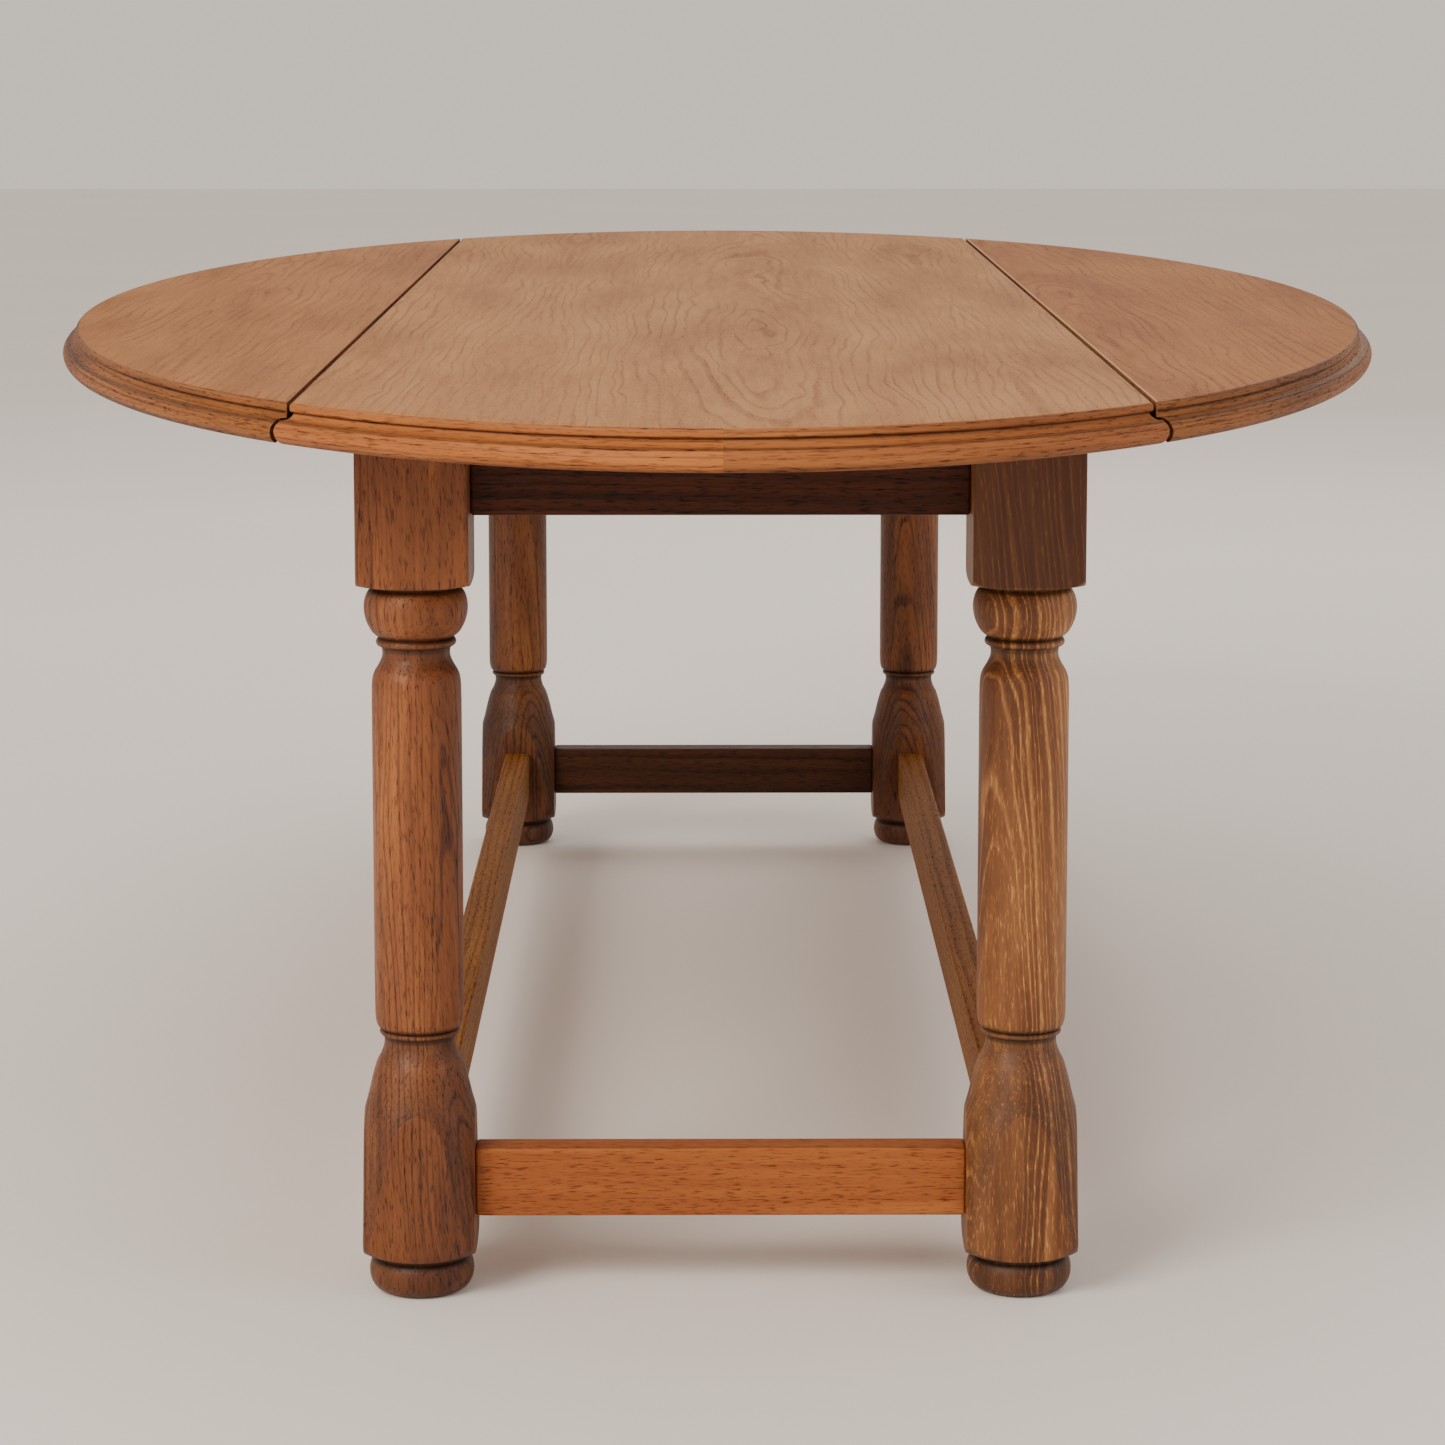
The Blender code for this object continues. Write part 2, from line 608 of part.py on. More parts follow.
def build_hinges(brass, steel, leaves):
    third = HINGE_LENGTH / 3
    outer = third / 2 + JOINT_GAP
    barrels = {
        "fixed": (-1, [(-HINGE_LENGTH / 2, -outer), (outer, HINGE_LENGTH / 2)]),
        "moving": (1, [(-third / 2, third / 2)]),
    }
    top = HINGE_DROP - JOINT_GAP
    clear = BARREL_RADIUS + JOINT_GAP
    meshes = {}
    for kind, (side, lengths) in barrels.items():
        ends = sorted((side * clear, side * FLAP_WIDTH))
        low = (ends[0], -HINGE_LENGTH / 2, top - FLAP_THICKNESS)
        flap = add_object(f"flap_{kind}", box(low, (ends[1], HINGE_LENGTH / 2, top)), brass)
        tools = []
        for i, (start, end) in enumerate(lengths):
            tools.append(add_object(f"barrel_{kind}_{i}", rolled_flap(side, start, end), brass))
        for tool in tools:
            combine(flap, tool, "UNION")
        apply_modifiers(flap)
        meshes[kind] = flap.data
        for helper in [flap, *tools]:
            bpy.data.objects.remove(helper)
    pin_mesh = add_object("pin", round_bar((0, 0, 0), (0, 1, 0), PIN_RADIUS, HINGE_LENGTH, 10), steel)
    meshes["pin"] = pin_mesh.data
    bpy.data.objects.remove(pin_mesh)
    for side_name, side_x in (("left", -1), ("right", 1)):
        for place, y in zip(("front", "middle", "back"), HINGE_Y):
            for kind, label in (("fixed", "fixed_flap"), ("moving", "moving_flap"), ("pin", "pin")):
                obj = bpy.data.objects.new(f"hinge_{side_name}_{place}_{label}", meshes[kind])
                bpy.context.scene.collection.objects.link(obj)
                obj.location = (side_x * HINGE_X, y, HINGE_Z)
                obj.rotation_euler = (0, 0, 0 if side_x > 0 else math.pi)
                if kind == "moving":
                    obj.parent = leaves[side_name]
                    obj.matrix_parent_inverse = Matrix.Translation(-leaves[side_name].location)


# The whole table


def build_top(veneer, lipping, leaves):
    add_object("centre_panel", centre_panel(), veneer)
    for name_y, side_y in (("front", -1), ("back", 1)):
        for name_x, side_x in (("left", -1), ("right", 1)):
            add_object(f"centre_edge_{name_y}_{name_x}", end_lipping(side_x, side_y), lipping)
    for name, side_x in (("left", -1), ("right", 1)):
        leaf = leaves[name]
        add_object(f"centre_edge_{name}", side_lipping(side_x), lipping)
        add_object(f"leaf_{name}_panel", leaf_panel(side_x), veneer, leaf)
        add_object(f"leaf_{name}_joint_strip", leaf_joint_strip(side_x), lipping, leaf)
        for name_y, side_y in (("front", -1), ("back", 1)):
            add_object(f"leaf_{name}_edge_{name_y}", leaf_lipping(side_x, side_y), lipping, leaf)


def main():
    for obj in list(bpy.data.objects):
        bpy.data.objects.remove(obj)
    veneer = oak("oak_veneer", (0.42, 0.21, 0.11), 0.45)
    lipping = oak("oak_lipping", (0.40, 0.18, 0.08), 0.45)
    turned = oak("turned_oak", (0.30, 0.13, 0.055), 0.5)
    rail_oak = oak("dark_oak_rail", (0.16, 0.065, 0.03), 0.55)
    stretcher_oak = oak("oak_stretcher", (0.35, 0.14, 0.05), 0.5)
    plain = oak("plain_beech", (0.52, 0.36, 0.2), 0.6)
    brass = metal("brassed_steel", (0.55, 0.42, 0.2), 0.35)
    steel = metal("steel", (0.5, 0.5, 0.5), 0.3)
    leaves = {
        name: add_empty(f"leaf_{name}_axis", (side_x * HINGE_X, 0, HINGE_Z))
        for name, side_x in (("left", -1), ("right", 1))
    }
    build_top(veneer, lipping, leaves)
    build_legs(turned)
    build_frame(rail_oak, stretcher_oak, plain)
    for side_name, side_x in (("left", -1), ("right", 1)):
        for place, lane in zip(("front", "back"), loper_lanes(side_x)):
            build_loper(side_x, lane, f"{side_name}_{place}", plain, plain)
    for pair, name in ((-1, "front"), (1, "back")):
        build_guide(pair, name, plain)
    build_hinges(brass, steel, leaves)
    for obj in bpy.data.objects:
        if obj.type == "MESH" and obj.name.startswith(("leg_", "loper_stop_")):
            obj.data.shade_smooth()
            obj.data.set_sharp_from_angle(angle=math.radians(35))


main()
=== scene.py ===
# %% [markdown]
# # A low oval drop leaf table in oak
# The measured frame comes first: it holds every piece of the table at its real size, joined as it moves.
# Everything made below is a finer version of one of those pieces, laid exactly where the frame has it.

# %% Load the measured frame
import math

import bpy
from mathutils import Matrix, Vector


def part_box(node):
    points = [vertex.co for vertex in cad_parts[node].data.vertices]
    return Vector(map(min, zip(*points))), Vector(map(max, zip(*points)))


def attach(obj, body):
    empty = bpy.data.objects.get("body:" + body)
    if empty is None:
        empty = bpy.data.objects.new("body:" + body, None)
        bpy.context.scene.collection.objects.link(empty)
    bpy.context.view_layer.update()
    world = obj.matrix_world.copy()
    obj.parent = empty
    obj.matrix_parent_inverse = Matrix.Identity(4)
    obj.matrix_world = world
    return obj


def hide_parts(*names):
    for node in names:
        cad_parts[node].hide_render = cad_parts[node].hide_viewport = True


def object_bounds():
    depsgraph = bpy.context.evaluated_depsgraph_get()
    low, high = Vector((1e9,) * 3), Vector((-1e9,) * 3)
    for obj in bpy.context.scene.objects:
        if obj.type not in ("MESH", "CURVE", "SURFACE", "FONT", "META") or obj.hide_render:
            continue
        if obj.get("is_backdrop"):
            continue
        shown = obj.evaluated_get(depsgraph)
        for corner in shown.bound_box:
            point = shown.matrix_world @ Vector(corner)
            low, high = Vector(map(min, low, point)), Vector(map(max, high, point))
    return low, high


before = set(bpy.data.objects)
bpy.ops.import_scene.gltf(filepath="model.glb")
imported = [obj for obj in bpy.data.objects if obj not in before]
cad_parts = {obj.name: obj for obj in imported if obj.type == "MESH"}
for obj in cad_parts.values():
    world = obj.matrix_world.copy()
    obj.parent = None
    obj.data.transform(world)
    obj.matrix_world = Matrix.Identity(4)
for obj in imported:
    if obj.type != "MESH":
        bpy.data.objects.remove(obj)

cad_low, cad_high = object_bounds()
print("frame", len(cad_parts), "nodes,", [round(v * 1000) for v in cad_high - cad_low], "mm")

# %% [markdown]
# ## Working in small steps
# An operator works on whatever is selected, so each piece starts with nothing selected. A finished piece
# keeps its object at the origin, with its place in its mesh, as the frame's own pieces do.


# %% Helpers for modelling
def begin():
    """Object mode, with nothing selected."""
    if bpy.context.mode != "OBJECT":
        bpy.ops.object.mode_set(mode="OBJECT")
    bpy.ops.object.select_all(action="DESELECT")


def only(obj):
    """Makes one object the selected and active one."""
    begin()
    obj.select_set(True)
    bpy.context.view_layer.objects.active = obj
    return obj


def close_up(obj, name, angle=32):
    """Names a shape, puts its place in its mesh, turns its faces outwards and smooths its curves."""
    only(obj)
    obj.name = name
    obj.data.name = name
    bpy.ops.object.transform_apply(location=True, rotation=True, scale=True)
    bpy.ops.object.mode_set(mode="EDIT")
    bpy.ops.mesh.select_all(action="SELECT")
    bpy.ops.mesh.remove_doubles(threshold=1e-6)
    bpy.ops.mesh.normals_make_consistent(inside=False)
    bpy.ops.object.mode_set(mode="OBJECT")
    bpy.ops.object.shade_smooth_by_angle(angle=math.radians(angle))
    return obj


def apply(obj, kind, **settings):
    """Adds a modifier and applies it at once."""
    only(obj)
    modifier = obj.modifiers.new(kind.title(), kind)
    for key, value in settings.items():
        setattr(modifier, key, value)
    bpy.ops.object.modifier_apply(modifier=modifier.name)
    return obj


def cut_with(obj, tool, operation="DIFFERENCE", keep=False):
    """A Boolean with another shape, which is then thrown away unless it is wanted again."""
    apply(obj, "BOOLEAN", object=tool, operation=operation, solver="EXACT")
    if not keep:
        bpy.data.objects.remove(tool)
    return obj


def copy_of(obj):
    twin = obj.copy()
    twin.data = obj.data.copy()
    bpy.context.scene.collection.objects.link(twin)
    return twin


def saw(obj, through, away):
    """Saws along a plane and keeps the side that away points from."""
    only(obj)
    bpy.ops.object.mode_set(mode="EDIT")
    bpy.ops.mesh.select_all(action="SELECT")
    bpy.ops.mesh.bisect(plane_co=through, plane_no=away, use_fill=True, clear_outer=True)
    bpy.ops.object.mode_set(mode="OBJECT")
    return obj


def fit(piece, body, slot, material, *nodes):
    """Hangs a finished piece on its body, in place of the frame's own pieces."""
    piece.data.materials.clear()
    piece.data.materials.append(material)
    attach(piece, body)
    if nodes:
        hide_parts(*nodes)
    return piece


# %% [markdown]
# ## Colours and nodes
# Colours are written as on a paint card, in sRGB hex, and turned to the linear values that a shader adds up.
# One small function adds a node, sets it and wires it, so a material reads from top to bottom.


# %% Helpers for materials
def linear(code, alpha=1.0):
    channels = [int(code[i : i + 2], 16) / 255 for i in (0, 2, 4)]
    return (*(c / 12.92 if c <= 0.04045 else ((c + 0.055) / 1.055) ** 2.4 for c in channels), alpha)


def add(tree, kind, inputs=None, **settings):
    """A node with its settings, and its inputs given as values or as sockets to link."""
    node = tree.nodes.new(kind)
    for key, value in settings.items():
        setattr(node, key, value)
    for key, value in (inputs or {}).items():
        if isinstance(value, bpy.types.NodeSocket):
            tree.links.new(value, node.inputs[key])
        else:
            node.inputs[key].default_value = value
    return node


def ramp(tree, factor, *stops):
    """A colour ramp through (place, hex) stops."""
    node = add(tree, "ShaderNodeValToRGB", {"Fac": factor})
    while len(node.color_ramp.elements) < len(stops):
        node.color_ramp.elements.new(0.5)
    for element, (place, code) in zip(node.color_ramp.elements, stops):
        element.position = place
        element.color = linear(code)
    return node.outputs["Color"]


def new_material(name):
    material = bpy.data.materials.new(name)
    material.use_nodes = True
    tree = material.node_tree
    return material, tree, tree.nodes["Principled BSDF"]


# %% [markdown]
# ## Oak, stained and waxed
# Oak grows a ring a year. The first wood of spring is full of open pores, which take up dark stain, and the
# summer wood between is hard and stays paler. Sawn lengthways, rings show as stripes; on a turned swelling
# they close into ovals. So the grain is drawn solid: rings round a pith line, bent a little by slow noise,
# with the pores as short dark dashes along the grain. The rings are 3 to 6.5 mm apart, which is what a
# quickly grown oak shows. Real pores are about 0.3 mm wide, too fine to show on a whole table, so they are
# drawn coarser: up to 0.8 mm wide and 9 mm long.


# %% Rings
def growth_rings(tree, wood, slow, pith, ring_mm, wander, line):
    """How much of each point is spring wood, from 0 to 1, in bent and uneven rings round the pith."""
    bend = add(tree, "ShaderNodeTexNoise", {"Vector": slow, "Scale": 14.0, "Detail": 3.0, "Roughness": 0.55})
    off = add(tree, "ShaderNodeVectorMath", {0: bend.outputs["Color"], 1: (0.5, 0.5, 0.5)},
              operation="SUBTRACT")
    off = add(tree, "ShaderNodeVectorMath", {0: off.outputs[0], "Scale": wander * 2}, operation="SCALE")
    from_pith = add(tree, "ShaderNodeVectorMath", {0: wood, 1: pith}, operation="SUBTRACT")
    bent = add(tree, "ShaderNodeVectorMath", {0: from_pith.outputs[0], 1: off.outputs[0]})
    flat = add(tree, "ShaderNodeVectorMath", {0: bent.outputs[0], 1: (1, 1, 0)}, operation="MULTIPLY")
    radius = add(tree, "ShaderNodeVectorMath", {0: flat.outputs[0]}, operation="LENGTH").outputs["Value"]
    year = add(tree, "ShaderNodeMath", {0: radius, 1: 1000 / ring_mm}, operation="MULTIPLY").outputs[0]
    uneven = add(tree, "ShaderNodeTexNoise", {"W": year, "Scale": 0.35, "Detail": 2.0},
                 noise_dimensions="1D")
    shift = add(tree, "ShaderNodeMath", {0: uneven.outputs["Fac"], 1: 2.2, 2: year},
                operation="MULTIPLY_ADD")
    season = add(tree, "ShaderNodeMath", {0: shift.outputs[0]}, operation="FRACT").outputs[0]
    spring = add(tree, "ShaderNodeMapRange",
                 {"Value": season, "From Min": 0.0, "From Max": line, "To Min": 1.0, "To Max": 0.0},
                 interpolation_type="SMOOTHERSTEP").outputs[0]
    fall = add(tree, "ShaderNodeMapRange", {"Value": season, "From Min": 0.9, "From Max": 1.0},
               interpolation_type="SMOOTHSTEP").outputs[0]
    return add(tree, "ShaderNodeMath", {0: spring, 1: fall}, operation="MAXIMUM").outputs[0]


# %% Pores
PORES_PER_METRE = 1250.0  # across the grain
PORE_STRETCH = 0.09  # a pore's width over its length


def pore_dashes(tree, grain, early):
    """Open pores as short dashes along the grain, from 0 to 1, densest in spring wood."""
    fine = add(tree, "ShaderNodeMapping", {"Vector": grain, "Scale": (1, 1, PORE_STRETCH)}).outputs["Vector"]
    dash = add(tree, "ShaderNodeTexNoise",
               {"Vector": fine, "Scale": PORES_PER_METRE, "Detail": 2.0, "Roughness": 0.6})
    dashes = add(tree, "ShaderNodeMapRange",
                 {"Value": dash.outputs["Fac"], "From Min": 0.54, "From Max": 0.68})
    share = add(tree, "ShaderNodeMapRange", {"Value": early, "To Min": 0.7, "To Max": 1.0})
    return add(tree, "ShaderNodeMath", {0: dashes.outputs[0], 1: share.outputs[0]},
               operation="MULTIPLY").outputs[0]


# %% Solid oak
GRAIN_TURNS = {"x": (0, math.radians(-90), 0), "y": (math.radians(90), 0, 0), "z": (0, 0, 0)}


def oak(name, along, pith, ring_mm, tones, seed, rough=0.55, coat=0.0, gloss=0.2, wander=0.004, line=0.55,
        rings=0.25, fade=0.6, mottle=0.5, pores=0.6, coords="Object", board=None, layers=None):
    """Oak with its grain along an axis, its pith at a point, and tones from dark to pale.

    wander bends the rings, by metres; line is the share of a ring that is spring wood; rings, mottle and
    pores weigh the pattern's parts, and fade lets the rings weaken in patches.
    """
    material, tree, shader = new_material(name)
    if coords == "Object":
        place = add(tree, "ShaderNodeTexCoord").outputs["Object"]
    else:
        place = add(tree, "ShaderNodeAttribute", attribute_name=coords).outputs["Vector"]
    wood = add(tree, "ShaderNodeMapping", {"Vector": place, "Rotation": GRAIN_TURNS[along]}).outputs["Vector"]
    if board:
        wood = board(tree, wood)
    moved = add(tree, "ShaderNodeVectorMath", {0: wood, 1: (seed * 0.37, seed * 0.61, seed * 1.13)})
    grain = moved.outputs["Vector"]
    slow = add(tree, "ShaderNodeMapping", {"Vector": grain, "Scale": (1, 1, 0.18)}).outputs["Vector"]
    early = growth_rings(tree, wood, slow, pith, ring_mm, wander, line)
    pore = pore_dashes(tree, grain, early)

    # The tone starts from the rings, and streaks, clouds and pores are added to it.
    streaky = add(tree, "ShaderNodeMapping", {"Vector": grain, "Scale": (1, 1, 0.03)}).outputs["Vector"]
    streak = add(tree, "ShaderNodeTexNoise",
                 {"Vector": streaky, "Scale": 260.0, "Detail": 3.0, "Roughness": 0.6})
    cloud = add(tree, "ShaderNodeTexNoise", {"Vector": slow, "Scale": 22.0, "Detail": 2.0})
    patchy = add(tree, "ShaderNodeTexNoise", {"Vector": slow, "Scale": 30.0, "Detail": 1.0})
    strong = add(tree, "ShaderNodeMapRange",
                 {"Value": patchy.outputs["Fac"], "From Min": 0.4, "From Max": 0.62,
                  "To Min": rings * (1 - fade), "To Max": rings})
    centred = add(tree, "ShaderNodeMath", {0: 0.5, 1: early}, operation="SUBTRACT").outputs[0]
    tone = add(tree, "ShaderNodeMath", {0: centred, 1: strong.outputs[0], 2: 0.5}, operation="MULTIPLY_ADD")
    for part, weight in ((streak.outputs["Fac"], 0.5), (cloud.outputs["Fac"], mottle), (pore, -pores)):
        tone = add(tree, "ShaderNodeMath", {0: part, 1: weight, 2: tone.outputs[0]}, operation="MULTIPLY_ADD")
    tone = add(tree, "ShaderNodeMath", {0: tone.outputs[0], 1: 0.25 + mottle / 2}, operation="SUBTRACT")
    colour = ramp(tree, tone.outputs[0], *zip((0.0, 0.35, 0.65, 1.0), tones))
    if layers:
        colour = layers(tree, place, colour)

    dull = add(tree, "ShaderNodeMapRange", {"Value": pore, "To Min": rough, "To Max": min(1.0, rough + 0.25)})
    height = add(tree, "ShaderNodeMath", {0: pore, 1: -1.0, 2: early}, operation="MULTIPLY_ADD").outputs[0]
    bump = add(tree, "ShaderNodeBump", {"Height": height, "Strength": 0.25, "Distance": 0.0003})
    tree.links.new(colour, shader.inputs["Base Color"])
    tree.links.new(dull.outputs[0], shader.inputs["Roughness"])
    tree.links.new(bump.outputs["Normal"], shader.inputs["Normal"])
    shader.inputs["IOR"].default_value = 1.5
    shader.inputs["Specular IOR Level"].default_value = gloss
    shader.inputs["Coat Weight"].default_value = coat
    shader.inputs["Coat Roughness"].default_value = 0.3
    return material


print("pores drawn", round(1000 / PORES_PER_METRE, 1), "mm wide,",
      round(1000 / PORES_PER_METRE / PORE_STRETCH, 1), "mm long")

# %% [markdown]
# ## The legs
# Each leg is turned from a 55 mm square of oak. The turner leaves the square at the top, where the rails
# enter, and low down, where the stretchers do, and turns the rest. Where a turned swelling is wider than
# the bar, the bar's own flat faces show with arched tops. So the leg is made as it was in the shop: the
# turned outline is drawn out ring by ring, and then only what lies inside the square bar is kept. Each list
# of points below is one smooth stretch of the outline, and the step to the next list is a cut line.

# %% The turner's outline, as radius and height in millimetres
top_of_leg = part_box("leg_front_left")[1].z * 1000
LEG_KNOTS = [
    [(39.6, top_of_leg), (39.6, 365.0)],
    [(39.2, 365.4), (38.2, 363.0), (36.8, 361.2), (35.0, 360.1), (32.0, 359.2), (27.7, 358.6), (24.6, 357.9),
     (22.7, 357.5), (22.2, 357.2)],
    [(21.9, 356.8), (23.9, 354.6), (25.2, 351.5), (25.8, 347.5), (25.4, 343.0), (24.0, 338.6), (21.7, 334.6),
     (18.9, 332.2)],
    [(18.3, 331.8), (19.4, 331.0), (19.9, 329.6), (19.4, 328.2), (18.0, 327.3)],
    [(17.2, 326.9), (16.8, 324.6), (17.1, 321.8), (18.6, 318.4), (20.6, 315.0), (21.8, 311.5), (22.2, 307.0)],
    [(22.3, 300.0), (22.3, 148.0)],
    [(22.2, 142.0), (21.9, 138.5), (21.0, 135.6), (19.6, 134.3)],
    [(18.7, 134.1), (19.8, 133.3), (20.1, 132.4), (19.7, 131.4), (18.6, 130.6)],
    [(18.0, 130.3), (17.7, 127.4), (18.3, 124.0), (19.8, 120.3), (21.6, 116.8), (23.9, 109.0), (26.0, 100.0),
     (28.2, 92.0), (29.9, 84.0), (31.6, 70.0), (33.4, 52.0), (35.4, 37.0), (36.6, 30.5)],
    [(36.9, 29.0), (36.1, 25.8), (33.9, 22.9), (30.6, 20.8), (27.5, 19.7), (25.2, 18.8), (24.2, 17.4)],
    [(23.8, 16.9), (24.9, 15.6), (25.9, 13.0), (26.3, 9.9), (26.0, 6.6), (24.9, 3.6), (23.2, 1.4),
     (20.8, 0.0)],
]


def through(knots, steps=6):
    """A smooth line through a few measured points."""
    if len(knots) < 3:
        return list(knots)
    ends = [knots[0], *knots, knots[-1]]
    line = []
    for a, b, c, d in zip(ends, ends[1:], ends[2:], ends[3:]):
        for i in range(steps):
            t = i / steps
            line.append(tuple(
                0.5 * (2 * q + (r - p) * t
                       + (2 * p - 5 * q + 4 * r - s) * t**2 + (3 * q - p - 3 * r + s) * t**3)
                for p, q, r, s in zip(a, b, c, d)))
    return line + [knots[-1]]


outline = [point for knots in LEG_KNOTS for point in through(knots)]
print("leg outline", len(outline), "rings, widest", max(r for r, z in outline), "mm")


# %% Draw the outline out ring by ring
def turned(name, line, sides=96):
    """A solid of stacked rings, from (radius, height) pairs in millimetres, drawn out from the top."""
    begin()
    radius, height = line[0][0] / 1000, line[0][1] / 1000
    bpy.ops.mesh.primitive_circle_add(
        vertices=sides, radius=radius, fill_type="NGON", location=(0, 0, height))
    obj = bpy.context.object
    bpy.ops.object.mode_set(mode="EDIT")
    bpy.ops.mesh.select_all(action="SELECT")
    for r, z in line[1:]:
        r, z = r / 1000, z / 1000
        bpy.ops.mesh.extrude_region_move(TRANSFORM_OT_translate={"value": (0, 0, z - height)})
        bpy.ops.transform.resize(value=(r / radius, r / radius, 1), center_override=(0, 0, z))
        radius, height = r, z
    bpy.ops.object.mode_set(mode="OBJECT")
    return close_up(obj, name)


# %% Turn one leg
LEG_EASE = 0.0022  # the bar's corners, eased
low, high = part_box("leg_front_left")
side = high.x - low.x
begin()
bpy.ops.mesh.primitive_cube_add(
    size=1, location=(0, 0, (low.z + high.z) / 2), scale=(side, side, high.z - low.z))
leg = close_up(bpy.context.object, "leg_blank")
apply(leg, "BEVEL", width=LEG_EASE, segments=3, limit_method="ANGLE")
cut_with(leg, turned("turning", outline), "INTERSECT")
close_up(leg, "leg_blank", 28)
print("one leg", len(leg.data.polygons), "faces")

# %% [markdown]
# ## The oval top
# The three boards of the top are veneered, and a solid oak lipping, moulded with a rounded lip, a hollow and
# a bold half round, runs round them. The centre's long edges carry the same moulding and each leaf's inner
# edge is hollowed to close over it. All of it is made as stacked outlines: a flat shape is drawn down step
# by step, and each step grows or shrinks it by what the moulding does there.

# %% The moulding, as millimetres out from the lip and down from the surface
MOULDING = [(-1.6, 0.0), (-1.0, -0.12), (-0.5, -0.45), (-0.12, -1.0), (0.0, -1.7), (0.0, -2.9),
            (-0.15, -3.6), (-0.55, -4.1), (-1.2, -4.3), (-1.75, -4.4), (-1.85, -4.75), (-1.6, -5.4),
            (-0.9, -6.3), (0.2, -7.2), (1.6, -7.9), (3.2, -8.25), (4.7, -8.35), (5.05, -8.45),
            (5.1, -9.0), (5.6, -9.25), (6.3, -9.9), (6.95, -10.9), (7.35, -12.1), (7.45, -13.2),
            (7.25, -14.6), (6.75, -15.9), (5.9, -17.2), (4.8, -18.2), (3.6, -18.8), (2.6, -19.0)]
DEEP = -MOULDING[-1][1]
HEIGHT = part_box("centre_panel")[1].z
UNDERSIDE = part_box("centre_panel")[0].z
SEAM = 0.199  # from the middle to the lip of the centre's long edge
OUT = max(out for out, down in MOULDING) / 1000
HALF_X = cad_high.x - OUT
HALF_Y = cad_high.y - OUT
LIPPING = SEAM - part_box("centre_panel")[1].x
moulding = [(out / 1000, HEIGHT + down * (HEIGHT - UNDERSIDE) / DEEP) for out, down in MOULDING]
print("oval lip", round(HALF_X * 2000), "x", round(HALF_Y * 2000), "mm, lipping", round(LIPPING * 1000, 1))


def oval_y(x, out=0.0):
    """Half the oval's length at x, for an outline that far out."""
    return (HALF_Y + out) * math.sqrt(1 - (x / (HALF_X + out)) ** 2)


HOLLOW_DOWN = 0.0139  # the hollow's centre, below the surface
HOLLOW_OUT = 0.0028  # and out from the centre's lip
HOLLOW_RADIUS = 0.0067
SEAM_GAP = 0.0015  # the open joint at the surface


def hollow(z):
    """How far a leaf's hollowed edge stands off the centre's lip."""
    rise = z - HEIGHT + HOLLOW_DOWN
    if rise > HOLLOW_RADIUS:
        return SEAM_GAP
    return max(SEAM_GAP, HOLLOW_OUT + math.sqrt(HOLLOW_RADIUS**2 - rise**2))


# %% Outlines drawn down into solids
def draw_down(obj, steps, middle):
    """Draws a flat outline down through (x factor, y factor, height) steps about a middle."""
    bpy.ops.object.mode_set(mode="EDIT")
    bpy.ops.mesh.select_all(action="SELECT")
    before = steps[0]
    for step in steps[1:]:
        drop = step[2] - before[2]
        bpy.ops.mesh.extrude_region_move(TRANSFORM_OT_translate={"value": (0, 0, drop)})
        size = (step[0] / before[0], step[1] / before[1], 1)
        bpy.ops.transform.resize(value=size, center_override=(*middle, step[2]))
        before = step
    bpy.ops.object.mode_set(mode="OBJECT")
    return close_up(obj, obj.name)


def oval(name, profile, sides=320):
    """An oval solid whose edge follows (out, height) pairs."""
    begin()
    bpy.ops.mesh.primitive_circle_add(
        vertices=sides, radius=1, fill_type="NGON", location=(0, 0, profile[0][1]))
    obj = bpy.context.object
    obj.name = name
    obj.scale = (HALF_X + profile[0][0], HALF_Y + profile[0][0], 1)
    bpy.ops.object.transform_apply(location=False, rotation=False, scale=True)
    return draw_down(obj, [(HALF_X + out, HALF_Y + out, z) for out, z in profile], (0, 0))


def strip(name, inner, profile, half_length):
    """A strip along Y from x = inner to the moulded line SEAM + out, given as (out, height) pairs."""
    begin()
    width = SEAM + profile[0][0] - inner
    bpy.ops.mesh.primitive_plane_add(size=1, location=(inner + width / 2, 0, profile[0][1]))
    obj = bpy.context.object
    obj.name = name
    obj.scale = (width, 2 * half_length, 1)
    bpy.ops.object.transform_apply(location=False, rotation=False, scale=True)
    return draw_down(obj, [(SEAM + out - inner, 1, z) for out, z in profile], (inner, 0))


# %% The moulded ring and the cutter for the seams
PAST = 0.01  # how far a cutter runs past the wood
flat_sides = [(-LIPPING, HEIGHT + PAST), (-LIPPING, UNDERSIDE - PAST)]
ring = oval("ring", moulding)
cut_with(ring, oval("ring_inside", flat_sides))
hollow_line = [(hollow(HEIGHT - d / 10000), HEIGHT - d / 10000) for d in range(0, 191, 5)]
cutter_line = [(SEAM_GAP, HEIGHT + PAST), *hollow_line, (hollow(UNDERSIDE), UNDERSIDE - PAST)]
seam_cutter = strip("seam_cutter", 0.0, cutter_line, 1.0)
print("ring", len(ring.data.polygons), "faces; seam cutter", len(seam_cutter.data.polygons))


# %% Mitres and twins
HAIR = 0.00002  # half of a closed glue line, in metres


def mitre(outer_x, inner_x, side_y):
    """A point on a mitre and its normal, which points towards the middle of the long side."""
    outer = Vector((outer_x, side_y * oval_y(outer_x), 0))
    inner = Vector((inner_x, side_y * oval_y(inner_x, -LIPPING), 0))
    along = inner - outer
    normal = Vector((along.y, -along.x, 0)).normalized()
    return outer, normal if normal.x > 0 else -normal


def mirrored(obj, name, axis):
    """A twin on the other side of the table."""
    twin = copy_of(obj)
    twin.scale = (-1, 1, 1) if axis == "x" else (1, -1, 1)
    return close_up(twin, name)


